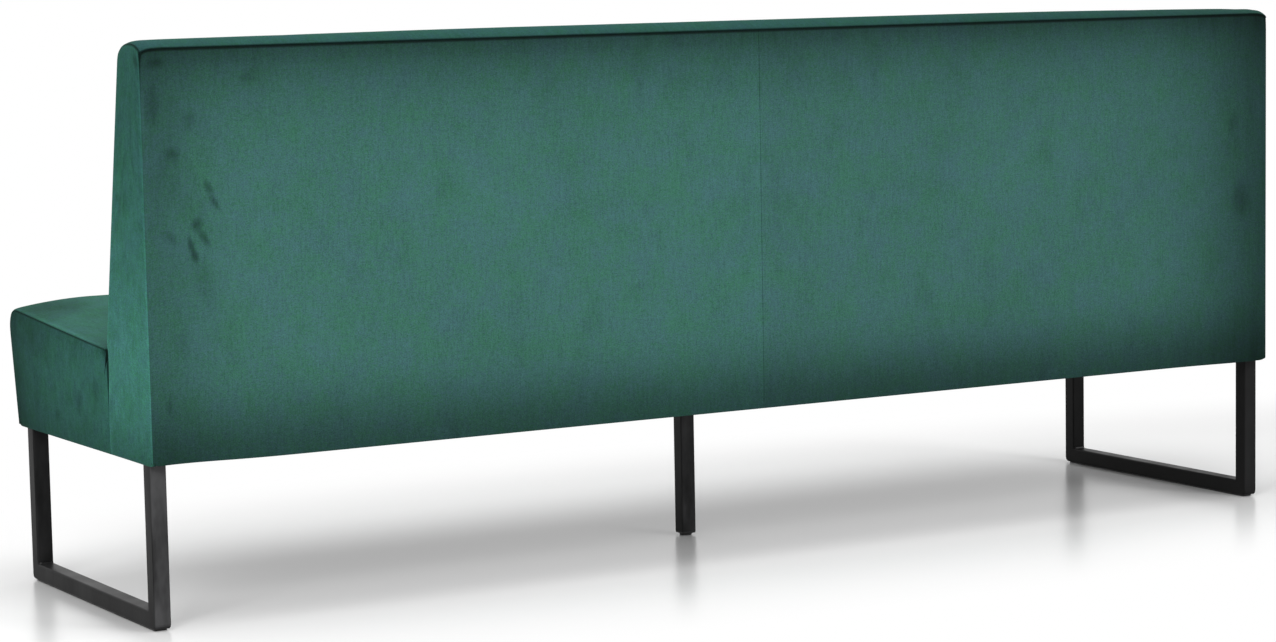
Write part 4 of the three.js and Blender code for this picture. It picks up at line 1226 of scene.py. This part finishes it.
for end, side in ends:
    solid, frontCorner, rearCorner = sledSolid(end, sledLeg)
    frontMitre, rearMitre = Vector((0, 1, -1)), Vector((0, -1, -1))
    tubes = {
        "front": ("sled_upright_front",
                  [(frontCorner, -frontMitre), (Vector((0, 0, 0)), Vector((0, -1, 0)))]),
        "rear": ("sled_upright_rear", [(rearCorner, -rearMitre), (Vector((0, 0, 0)), Vector((0, 1, 0)))]),
        "low": ("sled_runner", [(frontCorner, frontMitre), (rearCorner, rearMitre)]),
    }
    for part, (node, cuts) in tubes.items():
        cutPiece(solid, cuts, f"sled_tube_{part}_{end}", f"{node}_{end}", sledLeg["dust"][end][part])
    solid.free()
    low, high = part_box(f"sled_runner_{end}")
    inner = [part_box(f"sled_upright_front_{end}")[1].y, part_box(f"sled_upright_rear_{end}")[0].y]
    sink = sledLeg["weldRadius"] * sledLeg["weldSink"]
    clear = sledLeg["edgeRound"]
    for part, height in (("low", high.z + sink), ("top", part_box(f"sled_bar_{end}")[0].z - sink)):
        weldBead(f"sled_weld_{part}_{end}",
                 [((low.x + clear, y, height), (high.x - clear, y, height)) for y in inner], sledLeg)
print("sled legs welded")


# middle leg: a plain tube with a threaded glide in its foot
middleLeg = {
    # its dust amount is painted light on the faces that look up and back
    "dust": 0.8, "edgeRound": 0.003, "edgeSegments": 4, "wall": 0.0020, "sides": 40,
    "thread": 0.00125, "threadDepth": 0.0007, "threadSides": 24, "crest": (0.4, 0.6), "spareTurns": 2,
    "padRound": 0.0012, "padTop": 0.0022, "socket": 0.0043, "socketFloor": 0.0015,
}


def middleTube(values):
    low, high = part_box("leg_middle_tube")
    bm = bmesh.new()
    bmesh.ops.create_cube(bm, size=1.0)
    fitTo(bm, high - low, (low + high) / 2, bm.verts[:])
    upright = [edge for edge in bm.edges if abs(edge.verts[0].co.z - edge.verts[1].co.z) > 0.01]
    roundOff(bm, upright, values["edgeRound"], values["edgeSegments"])
    ends = [face for face in bm.faces if abs(face.normal.z) > 0.9]
    bmesh.ops.delete(bm, geom=ends, context="FACES_ONLY")
    tube = makeObject("middle_leg_tube", bm)
    addWall(tube, values["wall"])
    weighNormals(tube)
    paintLightOnBackFaces(tube, values["dust"])
    dress(tube, plain["black_powder_coat"], "leg_middle_tube")
    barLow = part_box("leg_middle_plate")[0].z
    clear = values["edgeRound"]
    weldBead("middle_leg_weld",
             [((low.x + clear, y, barLow), (high.x - clear, y, barLow)) for y in (low.y, high.y)]
             + [((x, low.y + clear, barLow), (x, high.y - clear, barLow)) for x in (low.x, high.x)], sledLeg)


def glidePad(values):
    low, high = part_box("glide_pad")
    centre, radius = (low + high) / 2, (high.x - low.x) / 2
    corner, waist = values["padRound"], values["padTop"]
    outline = [(0, 0), (radius - corner, 0), (radius - corner * 0.3, corner * 0.3), (radius, corner),
               (radius, high.z - waist), (radius - corner * 0.4, high.z - waist * 0.5),
               (radius - waist, high.z), (values["socket"], high.z),
               (values["socket"], values["socketFloor"]), (0, values["socketFloor"])]
    bm = bmesh.new()
    verts = [bm.verts.new((centre.x + out, centre.y, height)) for out, height in outline]
    edges = [bm.edges.new(pair) for pair in zip(verts, verts[1:])]
    bmesh.ops.spin(bm, geom=verts + edges, cent=(centre.x, centre.y, 0), axis=(0, 0, 1), angle=2 * math.pi,
                   steps=values["sides"], use_merge=True)
    bmesh.ops.remove_doubles(bm, verts=bm.verts[:], dist=mergeSpun)
    bmesh.ops.recalc_face_normals(bm, faces=bm.faces[:])
    pad = makeObject("glide_foot", bm)
    shadeSmooth(pad, 50)
    dress(pad, plain["black_glide_plastic"], "glide_pad", "glide_pad")


def threadedStud(values):
    low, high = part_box("glide_stud")
    centre, radius = (low + high) / 2, (high.x - low.x) / 2
    pitch = values["thread"]
    turns = math.ceil((high.z - low.z) / pitch) + values["spareTurns"]
    steps = values["threadSides"]
    root = radius - values["threadDepth"]
    bottom = low.z - pitch * values["spareTurns"]
    bm = bmesh.new()
    outline = [(root, 0), (radius, pitch * values["crest"][0]), (radius, pitch * values["crest"][1]),
               (root, pitch)]
    verts = [bm.verts.new((centre.x + out, centre.y, bottom + rise)) for out, rise in outline]
    edges = [bm.edges.new(pair) for pair in zip(verts, verts[1:])]
    bmesh.ops.spin(bm, geom=verts + edges, cent=(centre.x, centre.y, 0), axis=(0, 0, 1),
                   dvec=(0, 0, pitch / steps), angle=2 * math.pi * turns, steps=steps * turns,
                   use_merge=False)
    bmesh.ops.remove_doubles(bm, verts=bm.verts[:], dist=mergeSpun)
    cutAway(bm, (0, 0, low.z), Vector((0, 0, 1)))
    cutAway(bm, (0, 0, high.z), Vector((0, 0, -1)))
    fillHoles(bm)
    bmesh.ops.recalc_face_normals(bm, faces=bm.faces[:])
    stud = makeObject("glide_thread", bm)
    shadeSmooth(stud, 35)
    dress(stud, plain["zinc_plated_steel"], "glide_stud", "glide_stud")


middleTube(middleLeg)
glidePad(middleLeg)
threadedStud(middleLeg)
print("middle leg made")


# carried-over pieces keep their shape and take the finish with the longest matching start of their name
carriedLooks = {
    "black_powder_coat": ("sled_", "leg_middle_tube", "leg_middle_plate"),
    "black_glide_plastic": ("sled_glide_strip", "leg_middle_insert", "glide_pad"),
    "zinc_plated_steel": ("glide_stud", "leg_screw", "coach_screw", "sled_screw"),
    "birch_plywood": ("seat_deck", "back_former", "back_rear_lining", "back_front_board"),
    "planed_softwood": ("seat_", "back_"), "black_dust_cloth": ("dust_cover",),
    "cut_foam": ("seat_foam", "back_foam"),
}
starts = {start: look for look, group in carriedLooks.items() for start in group}
for name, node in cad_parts.items():
    longest = max((start for start in starts if name.startswith(start)), key=len)
    node.data.materials.clear()
    node.data.materials.append(plain[starts[longest]])
print("frame, legs and fittings finished")


# floor, light and surroundings
surroundings = {
    "floorSize": 60.0, "floorColour": (0.86, 0.86, 0.86, 1), "floorRoughness": 0.24, "floorSpecular": 0.3,
    "fadeShape": (0.5, 1.6, 1), "fadeShift": (0.15, 0.2, 0), "fadeNear": 0.85, "fadeFar": 1.6,
    "ambient": 0.40, "lampAim": (0, 0, 0.5),
    "lamps": [
        {"name": "left_softbox", "place": (4.2, 3.4, 3.2), "size": (2.0, 2.0), "power": 104},
        {"name": "right_softbox", "place": (-2.6, 5.0, 3.6), "size": (2.0, 2.0), "power": 108},
        {"name": "top_softbox", "place": (0.4, 0.3, 4.2), "size": (4.0, 3.0), "power": 125},
        {"name": "front_fill", "place": (0.5, -5.0, 2.6), "size": (3.0, 2.0), "power": 27},
    ],
}


def cameraSees(tree):
    light = addNode(tree, "ShaderNodeLightPath").outputs
    seen = addMath(tree, "MAXIMUM", light["Is Camera Ray"], light["Is Glossy Ray"])
    return addMath(tree, "MAXIMUM", seen, light["Is Transmission Ray"])


def makeSurroundings(given):
    bm = bmesh.new()
    bmesh.ops.create_grid(bm, x_segments=1, y_segments=1, size=given["floorSize"] / 2)
    floor = makeObject("floor", bm)
    material = bpy.data.materials.new("pale_floor")
    material.use_nodes = True
    tree = material.node_tree
    principled = tree.nodes["Principled BSDF"]
    for label, value in (("Base Color", given["floorColour"]), ("Roughness", given["floorRoughness"]),
                         ("Specular IOR Level", given["floorSpecular"])):
        feed(tree, principled.inputs[label], value)
    # away from the bench the floor runs into the white backdrop; the fade is stretched and shifted so it also
    # paints light over the outer edge of the bench's shadow, most towards the near end and the camera
    where = addNode(tree, "ShaderNodeTexCoord").outputs["Object"]
    place = addStretch(tree, where, given["fadeShape"], given["fadeShift"])
    away = addNode(tree, "ShaderNodeVectorMath", operation="LENGTH")
    feed(tree, away.inputs[0], place)
    fade = addRange(tree, away.outputs["Value"], given["fadeNear"], given["fadeFar"])
    white = addNode(tree, "ShaderNodeEmission")
    mixed = addNode(tree, "ShaderNodeMixShader")
    feed(tree, mixed.inputs["Fac"], addMath(tree, "MULTIPLY", fade, cameraSees(tree)))
    feed(tree, mixed.inputs[1], principled.outputs["BSDF"])
    feed(tree, mixed.inputs[2], white.outputs["Emission"])
    feed(tree, tree.nodes["Material Output"].inputs["Surface"], mixed.outputs["Shader"])
    floor.data.materials.append(material)

    world = bpy.data.worlds.new("studio")
    scene.world = world
    world.use_nodes = True
    tree = world.node_tree
    background = tree.nodes["Background"]
    background.inputs["Color"].default_value = (1, 1, 1, 1)
    strength = addRange(tree, cameraSees(tree), 0.0, 1.0, given["ambient"], 1.0, "LINEAR")
    feed(tree, background.inputs["Strength"], strength)

    for lamp in given["lamps"]:
        data = bpy.data.lights.new(lamp["name"], "AREA")
        data.shape = "RECTANGLE"
        data.size, data.size_y = lamp["size"]
        data.energy = lamp["power"]
        thing = bpy.data.objects.new(lamp["name"], data)
        aim = Vector(given["lampAim"]) - Vector(lamp["place"])
        turn = aim.to_track_quat("-Z", "Y").to_matrix().to_4x4()
        thing.matrix_world = Matrix.Translation(lamp["place"]) @ turn
        scene.collection.objects.link(thing)


makeSurroundings(surroundings)
scene.view_settings.view_transform = "Standard"
print("floor and lights placed")
